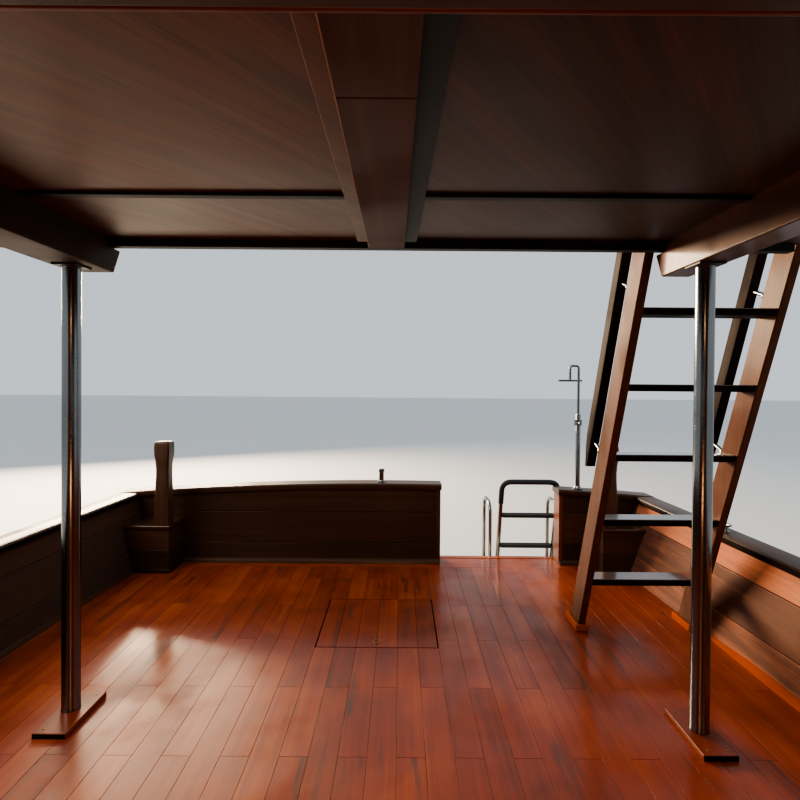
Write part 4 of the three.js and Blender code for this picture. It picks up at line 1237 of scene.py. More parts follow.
def box_board(boards, sign, grow, z0, z1, tone=None):
    """A layer of the box, from its inner face to the bulwark's lining; grow is (inwards, forward)."""
    inner, fore = BOX_INNER - grow[0], BOX_FORE + grow[1]
    rings = []
    for z in (z0, z1):
        outer = [(x, lining_face(sign, x, z) - 0.002) for x in (BOX_AFT, fore)]
        rings.append([Vector((x, sign * y, z)) for x, y in ((fore, inner), (BOX_AFT, inner), *outer)])
    boards.loft(rings, along=1, tone=tone)


def quarter_box(side, sign):
    box, lid = Timber(50 + sign), Timber(53 + sign)
    for z0, z1 in ((DECK, 1.172), (1.174, LID_UNDER)):
        box_board(box, sign, (-0.004, -0.006), z0, z1)
    box_board(box, sign, (0.010, 0.008), DECK, DECK + 0.028)
    box_board(lid, sign, (0.008, 0.010), LID_UNDER, BOX_TOP, tone=0.7)
    box.made(f"quarter_box_{side}_boards", DARK_WOOD, replaces=(f"quarter_box_{side}",), bevel=0.003)
    lid.made(f"quarter_box_{side}_lid", TREAD_WOOD, bevel=0.006, segments=3)


def octagon(x, y, z, half, corner):
    near = half - corner
    outline = (
        (half, -near), (half, near), (near, half), (-near, half),
        (-half, near), (-half, -near), (-near, -half), (near, -half),
    )
    return [Vector((x + u, y + v, z)) for u, v in outline]


def bollard(side, sign):
    post = Timber(56 + sign)
    x, y = BOLLARD
    rings = [octagon(x, sign * y, BOX_TOP + z, half, cut) for z, half, cut in BOLLARD_PROFILE]
    post.loft(rings, along=2, tone=0.85)
    post.made(f"samson_post_{side}", DARK_WOOD, replaces=(f"bollard_{side}",), bevel=0.002)


for side, sign in SIDES:
    quarter_box(side, sign)
    bollard(side, sign)
print("boxes and posts are built")

# %% [markdown]
# ## Roof posts, beams and the ceiling
# Two polished steel tubes carry the roof's aft end. Each stands on a wooden pad, screwed to the deck, whose
# fore end is a thin black board of painted shade, and meets its beam in a dark steel plate. The ceiling is
# plywood
# sheets between the beams: a dark batten covers the joint between two sheets, and the centre beam is a thick
# plank between two rebates. Light and shade are painted here: the starboard sheets are lighter than the port
# ones, the starboard side beam is darker than the port one, the port rebate is dark as a painted shadow, and
# thin pale strips on the centre beam's starboard edges are painted highlights.

# %% Posts and pads
POSTS = {"starboard": (-5.236, -1.329, -5.375, -1.315), "port": (-5.119, 1.358, -5.272, 1.356)}
POST_RADIUS = 0.038
PAD_LENGTH, PAD_WIDTH = 0.320, 0.138
PAD_TOP = DECK + 0.022
BEAM_LOW = 2.955
COLLARS = (  # height, how much thicker than the tube
    (PAD_TOP, 0.0017), (PAD_TOP + 0.004, 0.0017), (PAD_TOP + 0.010, 0.0007), (PAD_TOP + 0.012, 0.0), (1.6, 0.0),
    (2.2, 0.0), (BEAM_LOW - 0.014, 0.0), (BEAM_LOW - 0.012, 0.0014), (BEAM_LOW, 0.0014),
)
SCREW_INSET = 0.03
SCREW_HEAD = ((-0.004, 0.005), (0.0012, 0.005), (0.0022, 0.003))


def pad(side, sign):
    _, _, aft, middle = POSTS[side]
    fore, low, high = aft + PAD_LENGTH, middle - PAD_WIDTH / 2, middle + PAD_WIDTH / 2
    lone_board(
        60 + sign, (aft, low, DECK), (fore, high, PAD_TOP), f"pad_board_{side}", PAD_WOOD, tone=0.5,
        replaces=(f"post_pad_{side}",), bevel=0.003,
    )
    # The pad's fore end is a thin black board of painted shade.
    lone_board(
        61, (fore - 0.002, low + 0.002, DECK), (fore + 0.0012, high - 0.002, PAD_TOP - 0.003),
        f"pad_shade_end_{side}", BLACK_WOOD_AND_SHADE, along=1, tone=0.2,
    )
    heads = Timber(62)
    for x in (aft + SCREW_INSET, fore - SCREW_INSET):
        for y in (low + SCREW_INSET, high - SCREW_INSET):
            heads.turned((x, y, PAD_TOP), UP, SCREW_HEAD, 12)
    heads.made(f"pad_screws_{side}", BRONZE)


def roof_post(side):
    x, y, _, _ = POSTS[side]
    tube = Timber(63)
    tube.turned((x, y, 0), UP, [(z, POST_RADIUS + collar) for z, collar in COLLARS], 40)
    tube.made(f"post_tube_{side}", STEEL, replaces=(f"roof_post_{side}",))
    lone_board(
        64, (x - 0.060, y - 0.055, BEAM_LOW - 0.008), (x + 0.060, y + 0.055, BEAM_LOW),
        f"post_plate_{side}", DARK_STEEL, tone=0.3, bevel=0.0012,
    )


for side, sign in SIDES:
    pad(side, sign)
    roof_post(side)
print("roof posts are built")

# %% Beams and ceiling
CEILING = 3.108
BATTEN = -4.74
CENTRE_AFT = -5.300
PORT_TAPER = 0.16
PLANK_EDGES = (-0.043, 0.137)
PLANK_LEVELS = (3.056, 3.083)
REBATE_EDGES = (-0.094, 0.201)
BAYS = ((-1.222, REBATE_EDGES[0]), (0.178, 1.300))
BATTENS = (  # seed, name, finish, aft and fore edge, underside, tone, bevel
    (70, "ceiling_batten", DARK_PAINT_AND_SHADE, -0.018, 0.018, 0.018, 0.0, 0.003),
    (71, "batten_edge", WARM_WOOD, -0.026, -0.018, 0.012, 0.8, 0.0015),
)


def tapered_board(boards, x_from, x_to, y0, y1, z0, z1, tone=None):
    """A board along the centre beam, whose port edge comes closer to the middle towards the stern."""
    rings = []
    for x in (x_from, x_to):
        port = y1 * (1 - PORT_TAPER * (HOUSE_AFT - x) / (HOUSE_AFT - CENTRE_AFT))
        rings.append([Vector((x, y, z)) for y, z in ((y0, z0), (port, z0), (port, z1), (y0, z1))])
    boards.loft(rings, tone=tone)


def centre_beam():
    plank = Timber(66)
    for x_from, x_to in ((CENTRE_AFT, -4.001), (-3.9995, HOUSE_AFT)):
        tapered_board(plank, x_from, x_to, *PLANK_EDGES, *PLANK_LEVELS, tone=0.75)
    plank.made("centre_plank", BEAM_WOOD_AND_SHADE, replaces=("centre_beam",), bevel=0.003)
    # The port rebate is dark for the shadow the centre plank casts, which is painted shade. The starboard
    # rebate is plain ceiling.
    for side, y0, y1, finish in (
        ("starboard", REBATE_EDGES[0], 0.0, PLYWOOD), ("port", 0.0, REBATE_EDGES[1], DARK_PAINT_AND_SHADE),
    ):
        rebate = Timber(67)
        tapered_board(rebate, CENTRE_AFT + 0.001, HOUSE_AFT, y0, y1, PLANK_LEVELS[1], CEILING)
        rebate.made(f"centre_beam_{side}", finish, bevel=0.002)
    # Thin pale strips on the starboard edges of the rebate and the plank are painted highlights.
    edges = Timber(68)
    edge = REBATE_EDGES[0]
    edges.board((CENTRE_AFT + 0.001, edge - 0.003, 3.090), (HOUSE_AFT, edge + 0.002, 3.097))
    edge = PLANK_EDGES[0]
    edges.board((CENTRE_AFT, edge - 0.0025, 3.058), (HOUSE_AFT, edge + 0.0005, 3.066))
    edges.made("centre_beam_highlights", EDGE_HIGHLIGHT, bevel=0.001)


def ceiling_sheets():
    sheets = Timber(69)
    # The starboard sheets' higher tone and the port sheets' lower one are painted light and shade.
    for y0, y1, tone in ((-1.98, REBATE_EDGES[0], 0.65), (0.160, 1.98, 0.10)):
        for x0, x1 in ((-5.345, BATTEN - 0.002), (BATTEN + 0.002, HOUSE_AFT + 0.004)):
            sheets.board((x0, y0, CEILING - 0.006), (x1, y1, CEILING + 0.004), tone=tone)
    sheets.made("ceiling_sheets", PLYWOOD)
    for seed, name, finish, aft, fore, under, tone, bevel in BATTENS:
        strip = Timber(seed)
        for y0, y1 in BAYS:
            low, high = (BATTEN + aft, y0, CEILING - under), (BATTEN + fore, y1, CEILING - 0.006)
            strip.board(low, high, along=1, tone=tone)
        strip.made(name, finish, bevel=bevel)


# The side beams are one timber: the starboard one is darker for painted shade, and the port one is lighter for
# painted light.
for side, finish, tone in (("starboard", BEAM_WOOD_AND_SHADE, 0.3), ("port", WARM_WOOD, 0.08)):
    dress(f"side_beam_{side}", finish, bevel=0.006, tone=tone)
centre_beam()
ceiling_sheets()
print("ceiling is built")

# %% The roof slab, its deck and edges
ROOF_AFT, ROOF_FORE, ROOF_HALF, ROOF_TOP = -5.400, 2.950, 2.050, 3.170
ROOF_CORNER = 0.16
TOE_HIGH, TOE_THICK = 0.060, 0.040
LADDER_GAP = 1.107


def rounded_rectangle(x0, x1, half, corner, steps=8):
    points = []
    for cx, cy, start in (
        (x1 - corner, half - corner, 0), (x0 + corner, half - corner, 90),
        (x0 + corner, corner - half, 180), (x1 - corner, corner - half, 270),
    ):
        for step in range(steps + 1):
            turn = math.radians(start + 90 * step / steps)
            points.append((cx + corner * math.cos(turn), cy + corner * math.sin(turn)))
    return points


def roof_slab():
    slab = Timber(74)
    outline = rounded_rectangle(ROOF_AFT, ROOF_FORE, ROOF_HALF, ROOF_CORNER)
    slab.prism(outline, 2, CEILING, ROOF_TOP - 0.008, tone=0.3)
    slab.board((ROOF_AFT, -1.89, 3.068), (ROOF_AFT + 0.05, 1.89, CEILING), along=1, tone=0.1)
    slab.made("roof_slab", DARK_PAINT_AND_SHADE, replaces=("upper_deck",), bevel=0.004)


def upper_deck():
    planks = Timber(75)
    aft, fore, half = ROOF_AFT + 0.05, ROOF_FORE - 0.05, ROOF_HALF - 0.05
    for y0, y1 in row_edges(-half, half):
        low, high = max(y0, -half) + SEAM_WIDTH, min(y1, half) - SEAM_WIDTH
        for start, end in plank_lengths(round((y0 - ROW_START) / PLANK), aft, fore, 2 * PLANK_LENGTH):
            planks.board((start + SEAM_WIDTH, low, ROOF_TOP - PLANK_THICK), (end - SEAM_WIDTH, high, ROOF_TOP))
    planks.made("upper_deck_planks", DECK_WOOD, bevel=0.0012, segments=1)


def toe_rails():
    toe = Timber(76)
    reach, side = ROOF_HALF - ROOF_CORNER, ROOF_HALF - TOE_THICK
    aft, fore = ROOF_AFT + ROOF_CORNER, ROOF_FORE - ROOF_CORNER
    for along, x0, x1, y0, y1 in (
        (0, aft, fore, side, ROOF_HALF), (0, aft, fore, -ROOF_HALF, -side),
        (1, ROOF_FORE - TOE_THICK, ROOF_FORE, -reach, reach),
        (1, ROOF_AFT, ROOF_AFT + TOE_THICK, -reach, LADDER_GAP),
    ):
        toe.board((x0, y0, ROOF_TOP - 0.004), (x1, y1, ROOF_TOP + TOE_HIGH), along)
    toe.made("toe_rails", WARM_WOOD, bevel=0.008, segments=3)


roof_slab()
upper_deck()
toe_rails()
print("roof is built")

# %% [markdown]
# ## The companion ladder
# Two broad stringers lean forward to the upper deck and hold five treads in shallow housings. A kick chock
# stops each foot, and a dark handrail stands off behind each stringer on two steel brackets. The whole ladder
# lists a little to port, as in the photograph, so every point is sheared sideways with its height.

# %% Companion ladder
FOOT_X = -6.114
LEAN = math.tan(math.radians(18))
LIST = {"starboard": 0.0403, "port": 0.0559}
STRINGERS = {"starboard": (1.165, 1.207), "port": (1.832, 1.874)}
STRINGER_DEPTH = 0.162
TREADS = [1.337 + 0.375 * k for k in range(5)]
TREAD_DEPTH, TREAD_THICK = 0.132, 0.035


def list_at(y):
    """How far a point at this breadth moves to port for each metre of height."""
    inner = STRINGERS["starboard"][1]
    share = (y - inner) / (STRINGERS["port"][0] - inner)
    return LIST["starboard"] + share * (LIST["port"] - LIST["starboard"])


def listed(point):
    x, y, z = point
    return Vector((x, y + list_at(y) * (z - DECK), z))


def front_at(z, behind=0.0):
    return FOOT_X + LEAN * (z - DECK) - behind


def slanted_bar(bars, behind, sections, y0, y1, round_by=0.0, tone=None):
    """A bar along the ladder's slope: each section is a height and a depth, with its corners rounded."""
    middle, half = (y0 + y1) / 2, (y1 - y0) / 2
    rings = []
    for z, depth in sections:
        outline = ((0, half), (-depth, half), (-depth, -half), (0, -half))
        if round_by:
            outline = rounded_rectangle(-depth, 0, half, round_by, 3)
        rings.append([listed((front_at(z, behind) + u, middle + v, z)) for u, v in outline])
    bars.loft(rings, along=2, tone=tone)


def companion_ladder():
    stringers, chocks = Timber(80), Timber(82)
    for y0, y1 in STRINGERS.values():
        slanted_bar(stringers, 0, [(z, STRINGER_DEPTH) for z in spread(DECK, 3.300, 6)], y0, y1, tone=0.7)
        low, high = (FOOT_X - 0.192, y0 - 0.017, DECK), (FOOT_X + 0.025, y0 + 0.059, DECK + 0.042)
        chocks.board(low, high, tone=0.9, place=listed)
    stringers.made("ladder_stringers", STRINGER_WOOD, replaces=("companion_ladder",), bevel=0.006, segments=3)
    # The chocks' bright orange is painted sunlight.
    chocks.made("ladder_chocks", SUNLIT_STRIP_WOOD, bevel=0.008, segments=3)


def ladder_treads():
    treads, faces = Timber(81), Timber(85)
    y0, y1 = STRINGERS["starboard"][1] - 0.003, STRINGERS["port"][0] + 0.003
    for z in TREADS:
        front = front_at(z) - 0.015
        back = front - TREAD_DEPTH
        treads.board((back, y0, z - TREAD_THICK), (front, y1, z), along=1, place=listed)
        # A thin black shell round the tread's edges and underside, below its top, is painted shade.
        low = (back - 0.0015, y0 + 0.004, z - TREAD_THICK - 0.0015)
        high = (front + 0.0015, y1 - 0.004, z - 0.004)
        faces.board(low, high, along=1, tone=0.3, place=listed)
    treads.made("ladder_treads", TREAD_WOOD, bevel=0.003)
    faces.made("ladder_tread_shade", BLACK_WOOD_AND_SHADE, bevel=0.003)


companion_ladder()
ladder_treads()
print("companion ladder is built")

# %% Handrails
HANDRAIL_SECTIONS = (  # height, depth: the lower end is cut back to a toe and the upper one is eased
    (1.980, 0.036), (2.010, 0.044), (2.050, 0.058), (2.090, 0.072), (2.130, 0.082), (2.170, 0.088),
    (3.000, 0.088), (3.930, 0.088), (3.980, 0.080), (4.000, 0.066),
)
HANDRAIL_BEHIND = 0.126
BRACKETS = {"starboard": (2.085, 2.953), "port": (2.085, 2.916)}


def handrail(side):
    y = sum(STRINGERS[side]) / 2
    bar = Timber(83)
    behind = STRINGER_DEPTH + HANDRAIL_BEHIND
    slanted_bar(bar, behind, HANDRAIL_SECTIONS, y - 0.025, y + 0.025, 0.005, tone=0.3)
    bar.made(f"handrail_bar_{side}", BLACK_WOOD_AND_SHADE, replaces=(f"ladder_handrail_{side}",))
    brackets = Timber(84)
    reach = HANDRAIL_BEHIND + 0.010
    rise = LEAN * reach
    for z in BRACKETS[side]:
        front = listed((front_at(z, STRINGER_DEPTH), y, z))
        back = listed((front_at(z + rise, STRINGER_DEPTH + reach), y, z + rise))
        brackets.tube([back, front], 0.011, 14)
        brackets.tube([front + Vector((-0.006, 0, 0.002)), front + 0.001 * ALONG], 0.024, 20)
    brackets.made(f"handrail_brackets_{side}", STEEL)


for side, _ in SIDES:
    handrail(side)
print("handrails are built")

# %% [markdown]
# ## The flush hatch
# A hatch in the deck should not be seen, so its lid is made of six planks of the same width as the deck's and
# they continue its seams. Only the fine gap round it and a flush ring show where it opens. The lid rides on its
# own body, so that it swings with the joint.

# %% Deck hatch
LID_AFT, LID_FORE, LID_STARBOARD, LID_PORT = -6.563, -5.877, -0.353, 0.318


def deck_hatch():
    lid = Timber(90)
    for k in range(6):
        y0 = max(ROW_START + k * PLANK + SEAM_WIDTH / 2, LID_STARBOARD)
        y1 = min(ROW_START + (k + 1) * PLANK - SEAM_WIDTH / 2, LID_PORT)
        lid.board((LID_AFT, y0, DECK - PLANK_THICK), (LID_FORE, y1, DECK))
    lid.made("hatch_lid_planks", DECK_WOOD, body="aft_lid", replaces=("aft_hatch_lid",), **PLANK_EDGE)
    lone_board(
        91, (LID_AFT, LID_STARBOARD, DECK - 0.030), (LID_FORE, LID_PORT, DECK - 0.0195),
        "hatch_lid_back", SEAM, body="aft_lid",
    )
    ring = Timber(92)
    ring.tube(circle((LID_FORE - 0.069, -0.018, DECK + 0.0012), ALONG, ACROSS, 0.022, 24), 0.0025, 8)
    ring.made("hatch_ring", BRONZE, body="aft_lid")


deck_hatch()
print("flush hatch is built")

# %% [markdown]
# ## Stern gear
# Behind the gateway hangs a wooden platform on four knees. Two polished hoops stand on it for a hand to hold,
# and a folding ladder is hinged on a bracket: it is drawn folded up, and turns aft and down until its arch is
# just above the waterline. The arch has a black rubber grip. A deck shower stands on the transom's cap.

# %% Swim platform and hoops
STEEL_SIDES = 20
PLATFORM_AFT, PLATFORM_FORE, PLATFORM_TOP = -8.300, -7.5503, 0.650
PLATFORM_SIDES = (0.440, 1.990)
BOARDS_THICK = 0.022
LEDGER = 0.050
HOOP_SIDES = {"starboard": 0.915, "port": 1.520}
HOOP_FORE, HOOP_AFT, HOOP_TOP = -7.800, -8.150, 1.400


def swim_platform():
    boards = Timber(95)
    aft, fore, top = PLATFORM_AFT, PLATFORM_FORE, PLATFORM_TOP
    start, end = PLATFORM_SIDES
    slot = (HOOP_SIDES["starboard"] + 0.022, HOOP_SIDES["port"] - 0.022)
    for y_from, y_to in ((start, slot[0]), (slot[1], end)):
        for y0, y1 in spans(spread(y_from, y_to, max(2, round((y_to - y_from) / 0.09)))):
            boards.board((aft, y0 + 0.004, top - BOARDS_THICK), (fore - LEDGER, y1 - 0.004, top))
        for x in (aft + 0.03, (aft + fore) / 2 - 0.03, fore - LEDGER - 0.11):
            low, high = (x, y_from + 0.004, top - LEDGER), (x + 0.07, y_to - 0.004, top - BOARDS_THICK)
            boards.board(low, high, along=1)
    boards.board((fore - LEDGER, start, top - LEDGER), (fore, end, top), along=1)
    under = top - LEDGER
    knee = [(fore, under), (aft + 0.12, under), (aft + 0.20, under - 0.035), (-7.80, 0.42), (fore, 0.19)]
    for y in (start + 0.06, slot[0] - 0.06, slot[1] + 0.06, end - 0.06):
        boards.prism(knee, 1, y - 0.02, y + 0.02)
    boards.made("platform_boards", WARM_WOOD, replaces=("swim_platform",), bevel=0.003)


def flange(rings, x, y, z, radius, thick=0.008):
    """A round foot plate with a domed collar."""
    profile = ((0, radius), (thick, radius), (thick + 0.003, radius * 0.72), (thick + 0.02, radius * 0.5))
    rings.turned((x, y, z), UP, profile, 24)


def boarding_hoop(side):
    y, foot = HOOP_SIDES[side], PLATFORM_TOP
    hoop = Timber(97)
    corners = ((HOOP_FORE, y, foot), (HOOP_FORE, y, HOOP_TOP), (HOOP_AFT, y, HOOP_TOP), (HOOP_AFT, y, foot))
    hoop.tube(bent(corners, 0.12, 10), 0.016, STEEL_SIDES)
    for x in (HOOP_FORE, HOOP_AFT):
        flange(hoop, x, y, foot, 0.034)
    hoop.made(f"hoop_tube_{side}", STEEL, replaces=(f"boarding_hoop_{side}",))


swim_platform()
for side, _ in SIDES:
    boarding_hoop(side)
print("platform is built")

# %% Folding swim ladder and shower
HINGE = (-7.775, 1.215, 0.860)
SWIM_HALF, SWIM_LENGTH, SWIM_LEAN = 0.240, 0.806, math.radians(16)
SWIM_TREADS = (0.197, 0.492)
TREAD_SECTION = (  # out, up
    (-0.026, -0.011), (-0.020, -0.016), (0.020, -0.016), (0.026, -0.011),
    (0.026, 0.008), (0.020, 0.013), (-0.020, 0.013), (-0.026, 0.008),
)
GRIP_LENGTH = 0.20
SHOWER = (-7.425, 1.574)


def swim_point(y, height, out=0.0):
    x = HINGE[0] + height * math.sin(SWIM_LEAN) + out * math.cos(SWIM_LEAN)
    return Vector((x, HINGE[1] + y, HINGE[2] + height * math.cos(SWIM_LEAN) - out * math.sin(SWIM_LEAN)))


def swim_arch(foot):
    """The ladder's tube, from a height on one side over the arch to the other side."""
    corners = ((-SWIM_HALF, foot), (-SWIM_HALF, SWIM_LENGTH), (SWIM_HALF, SWIM_LENGTH), (SWIM_HALF, foot))
    return bent([swim_point(y, height) for y, height in corners], 0.085, 8)


def swim_ladder():
    tubes, treads, grip = Timber(100), Timber(101), Timber(102)
    tubes.tube(swim_arch(0), 0.0185, STEEL_SIDES)
    tubes.tube([swim_point(-SWIM_HALF - 0.018, 0), swim_point(SWIM_HALF + 0.018, 0)], 0.0175, STEEL_SIDES)
    tubes.made("swim_ladder_frame", STEEL, body="boarding_ladder", replaces=("swim_ladder",))
    for height in SWIM_TREADS:
        ends = (0.018 - SWIM_HALF, SWIM_HALF - 0.018)
        treads.loft([[swim_point(y, height + up, out) for out, up in TREAD_SECTION] for y in ends])
    treads.made("swim_ladder_treads", RUBBER, body="boarding_ladder", bevel=0.002)
    grip.tube(swim_arch(SWIM_LENGTH - GRIP_LENGTH), 0.0225, STEEL_SIDES)
    grip.made("swim_ladder_grip", RUBBER, body="boarding_ladder", bevel=0.002)


def ladder_bracket():
    x, y, z = HINGE
    reach, thick = SWIM_HALF + 0.0195, 0.008
    bracket = Timber(103)
    bracket.board((STERN - thick, y - reach - thick, z - 0.05), (STERN, y + reach + thick, z + 0.05))
    lug = [
        (STERN - 0.006, z - 0.045), (x - 0.012, z - 0.024), (x - 0.022, z - 0.012),
        (x - 0.022, z + 0.012), (x - 0.012, z + 0.024), (STERN - 0.006, z + 0.045),
    ]
    for side in (y - reach - thick, y + reach):
        bracket.prism(lug, 1, side, side + thick)
    for side in (y - reach - 0.012, y + reach + 0.007):
        bracket.turned((x, side, z), ACROSS, ((0, 0.011), (0.005, 0.011)), 6)
    bracket.made("ladder_bracket", STEEL, replaces=("swim_ladder_bracket",), bevel=0.001)


def shower():
    x, y = SHOWER
    foot = transom_top(y)
    post = Timber(104)
    flange(post, x, y, foot, 0.042)
    post.turned((x, y, 0), UP, ((foot, 0.0195), (2.216, 0.0195), (2.222, 0.017), (2.226, 0.011)), 24)
    post.turned((x, y, 0), UP, ((2.210, 0.0108), (2.590, 0.0108)), 18)
    neck = bent([(x, y, 2.570), (x, y, 2.620), (x, y - 0.07, 2.620), (x, y - 0.07, 2.502)], 0.022, 8)
    post.tube(neck, 0.010, 14)
    post.board((x - 0.018, y - 0.165, 2.490), (x + 0.018, y + 0.025, 2.506))
    post.turned((x, y, 0), UP, ((2.128, 0.031), (2.177, 0.031)), 24)
    post.turned((x, y, 2.150), ALONG, ((-0.001, 0.012), (0.055, 0.012), (0.060, 0.009)), 14)
    post.made("shower_tube", STEEL, replaces=("shower_post",), bevel=0.0015)


swim_ladder()
ladder_bracket()
shower()
print("stern gear is built")

# %% [markdown]
# ## Rod holders and cleats
# Small steel fittings sit on the caps: three rod holders like short cups with a collar, and mooring cleats with
# two horns. They are cast or turned and polished, and bolted through the timber.

# %% Cap fittings
CUP_PROFILE = ((0, 0.021), (0.085, 0.021), (0.088, 0.026), (0.104, 0.026), (0.108, 0.022))
CLEAT_LENGTH = 0.20
CLEAT_FOOT = ((0, 0.019), (0.012, 0.013), (0.034, 0.012))
CLEAT_BAR = (  # share of the length, height, radius
    (-0.5, 0.050, 0.004), (-0.44, 0.047, 0.0085), (-0.3, 0.041, 0.012), (-0.1, 0.038, 0.0135),
    (0.1, 0.038, 0.0135), (0.3, 0.041, 0.012), (0.44, 0.047, 0.0085), (0.5, 0.050, 0.004),
)
CLEATS = {-1: (-3.0, 1.2, 4.6), 1: (-6.3, -0.6, 4.6)}


def rod_holder(name, x, y, z):
    cup = Timber(110)
    flange(cup, x, y, z, 0.034, 0.005)
    cup.turned((x, y, z), UP, CUP_PROFILE, 20)
    cup.made(f"rod_holder_{name}", STEEL)


def cleat(name, *place):
    made = Timber(111)
    middle = Vector(place)
    for share in (-0.24, 0.24):
        made.turned(middle + share * CLEAT_LENGTH * ALONG, UP, CLEAT_FOOT, 14)
    path = [middle + share * CLEAT_LENGTH * ALONG + rise * UP for share, rise, _ in CLEAT_BAR]
    made.tube(path, [radius for _, _, radius in CLEAT_BAR], 14)
    made.made(f"cleat_{name}", STEEL)


def cap_place(x, sign):
    return x, sign * (half_breadth(x, cap_top(x)) - 0.06), cap_top(x)


rod_holder("transom", SHOWER[0], -0.048, transom_top(-0.048))
for side, sign in SIDES:
    rod_holder(side, *cap_place(-5.55, sign))
    for k, x in enumerate(CLEATS[sign]):
        cleat(f"{side}_{k + 1}", *cap_place(x, sign))
print("cap fittings are built")

# %% [markdown]
# ## The deckhouse
# A wooden deckhouse is a frame with upright tongued boards on it. Each wall here is columns of boards with a
# dark line between two, cut round the windows and the doors, and each opening has a frame of its own with one
# pane of glass in it. Only the doors' tracks stand proud of the outer face, because the doors slide along it.

# %% The house's side walls
HOUSE_HALF = 1.600
WALL = 0.050
HOUSE_FORE = 2.5997
FRONT_WALL = 0.055
SCREEN_FOOT = 2.050
RAKE = math.tan(math.radians(14))
WINDOWS = ((-3.200, -2.150), (-2.000, -0.950), (-0.800, 0.250), (0.400, 1.100))
WINDOW_LEVELS = (1.950, 2.750)
DOOR = {"aft": 1.350, "fore": 2.000, "sill": 1.060, "head": 2.900}
BOARD_WIDTH = 0.11
BOARD_GAP = 0.0012
CORNER_POSTS = (HOUSE_AFT + 0.0603, 2.281, HOUSE_FORE - FRONT_WALL)


def side_top(x):
    """The wall's top, which the raked windscreen cuts off at the fore end."""
    return min(CEILING, SCREEN_FOOT + (HOUSE_FORE - FRONT_WALL - x) / RAKE)


def open_levels(x):
    """The levels between which a side wall is open at a place along it."""
    if DOOR["aft"] < x < DOOR["fore"]:
        return DOOR["sill"], DOOR["head"]
    if any(x0 < x < x1 for x0, x1 in WINDOWS):
        return WINDOW_LEVELS
    return None


def wall_columns(boards, y0, y1, width, gap):
    edges = sorted({*CORNER_POSTS, DOOR["aft"], DOOR["fore"], *(edge for span in WINDOWS for edge in span)})
    for x_from, x_to in spans(edges):
        hole = open_levels((x_from + x_to) / 2)
        parts = ((DECK, hole[0]), (hole[1], None)) if hole else ((DECK, None),)
        for x0, x1 in spans(spread(x_from, x_to, max(1, round((x_to - x_from) / width)))):
            x0, x1 = x0 + gap, x1 - gap
            for low, high in parts:
                top = (high, high) if high else (side_top(x0), side_top(x1))
                boards.prism([(x0, low), (x1, low), (x1, top[1]), (x0, top[0])], 1, y0, y1, along=2)


def four_bars(u0, u1, v0, v1, width):
    """A frame as the two long bars along u and the two short ones between them."""
    return (
        (u0, u1, v0, v0 + width), (u0, u1, v1 - width, v1),
        (u0, u0 + width, v0 + width, v1 - width), (u1 - width, u1, v0 + width, v1 - width),
    )


def frame_of(bars, y0, y1, opening, width):
    """A frame just inside an opening in a side wall."""
    for k, (x0, x1, z0, z1) in enumerate(four_bars(*opening, width)):
        bars.board((x0, y0, z0), (x1, y1, z1), along=0 if k < 2 else 2, tone=0.35)


def house_side(side, sign):
    inner, outer = HOUSE_HALF - WALL, HOUSE_HALF
    boards, core, frames, panes = (Timber(seed, sign) for seed in (120 + sign, 122, 123, 124))
    wall_columns(boards, inner, outer, BOARD_WIDTH, BOARD_GAP)
    for z0, z1 in ((DECK, 1.040), (2.920, 2.960)):
        boards.board((0.580, outer - 0.005, z0), (2.070, outer + 0.045, z1))
    boards.made(f"house_boards_{side}", WARM_WOOD, replaces=(f"house_side_{side}",), bevel=0.003)
    wall_columns(core, inner + 0.004, outer - 0.004, width=9.0, gap=0.0)
    core.made(f"house_core_{side}", SEAM)
    bottom, top = WINDOW_LEVELS
    for x0, x1 in WINDOWS:
        frame_of(frames, inner - 0.008, outer - 0.004, (x0, x1, bottom, top), 0.032)
        panes.board((x0 + 0.03, outer - 0.031, bottom + 0.03), (x1 - 0.03, outer - 0.025, top - 0.03))
    low, high = (WINDOWS[0][0] - 0.04, inner - 0.05, 1.915), (WINDOWS[-1][1] + 0.04, inner + 0.002, 1.945)
    frames.board(low, high, tone=0.3)
    frames.made(f"window_frames_{side}", DARK_WOOD, bevel=0.003)
    panes.made(f"window_panes_{side}", GLASS, replaces=(f"side_glass_{side}",))


for side, sign in SIDES:
    house_side(side, sign)
print("side walls are built")

# %% The house's aft wall and front
DOORWAY_HALF, DOORWAY_HEAD = 0.900, 3.023


def house_aft():
    boards, core, casing = Timber(126), Timber(127), Timber(128)
    x0, x1 = HOUSE_AFT, HOUSE_AFT + 0.060
    half, head = DOORWAY_HALF, DOORWAY_HEAD
    for low, high in ((-HOUSE_HALF, -half), (half, HOUSE_HALF)):
        for a, b in spans(spread(low, high, 7)):
            boards.board((x0, a + BOARD_GAP, DECK), (x1, b - BOARD_GAP, CEILING), along=2)
        core.board((x0 + 0.004, low + 0.001, DECK), (x1 - 0.004, high - 0.001, CEILING))
    boards.board((x0, -half, head), (x1, half, CEILING), along=1, tone=0.5)
    boards.made("house_aft_boards", DARK_WOOD, replaces=("house_aft",), bevel=0.003)
    core.made("house_aft_core", SEAM)
    for a, b in ((-half - 0.08, -half), (half, half + 0.08)):
        casing.board((x0 - 0.012, a, DECK), (x0, b, head + 0.07), along=2, tone=0.6)
    casing.board((x0 - 0.014, -half - 0.09, head), (x0, half + 0.09, head + 0.07), along=1, tone=0.6)
    casing.made("doorway_casing", WARM_WOOD, bevel=0.005)


SCREENS = ((-1.450, -0.520), (-0.440, 0.440), (0.520, 1.450))
SCREEN_LEVELS = (2.120, 2.980)


def on_screen(z, behind):
    return HOUSE_FORE - RAKE * max(0.0, z - SCREEN_FOOT) - behind


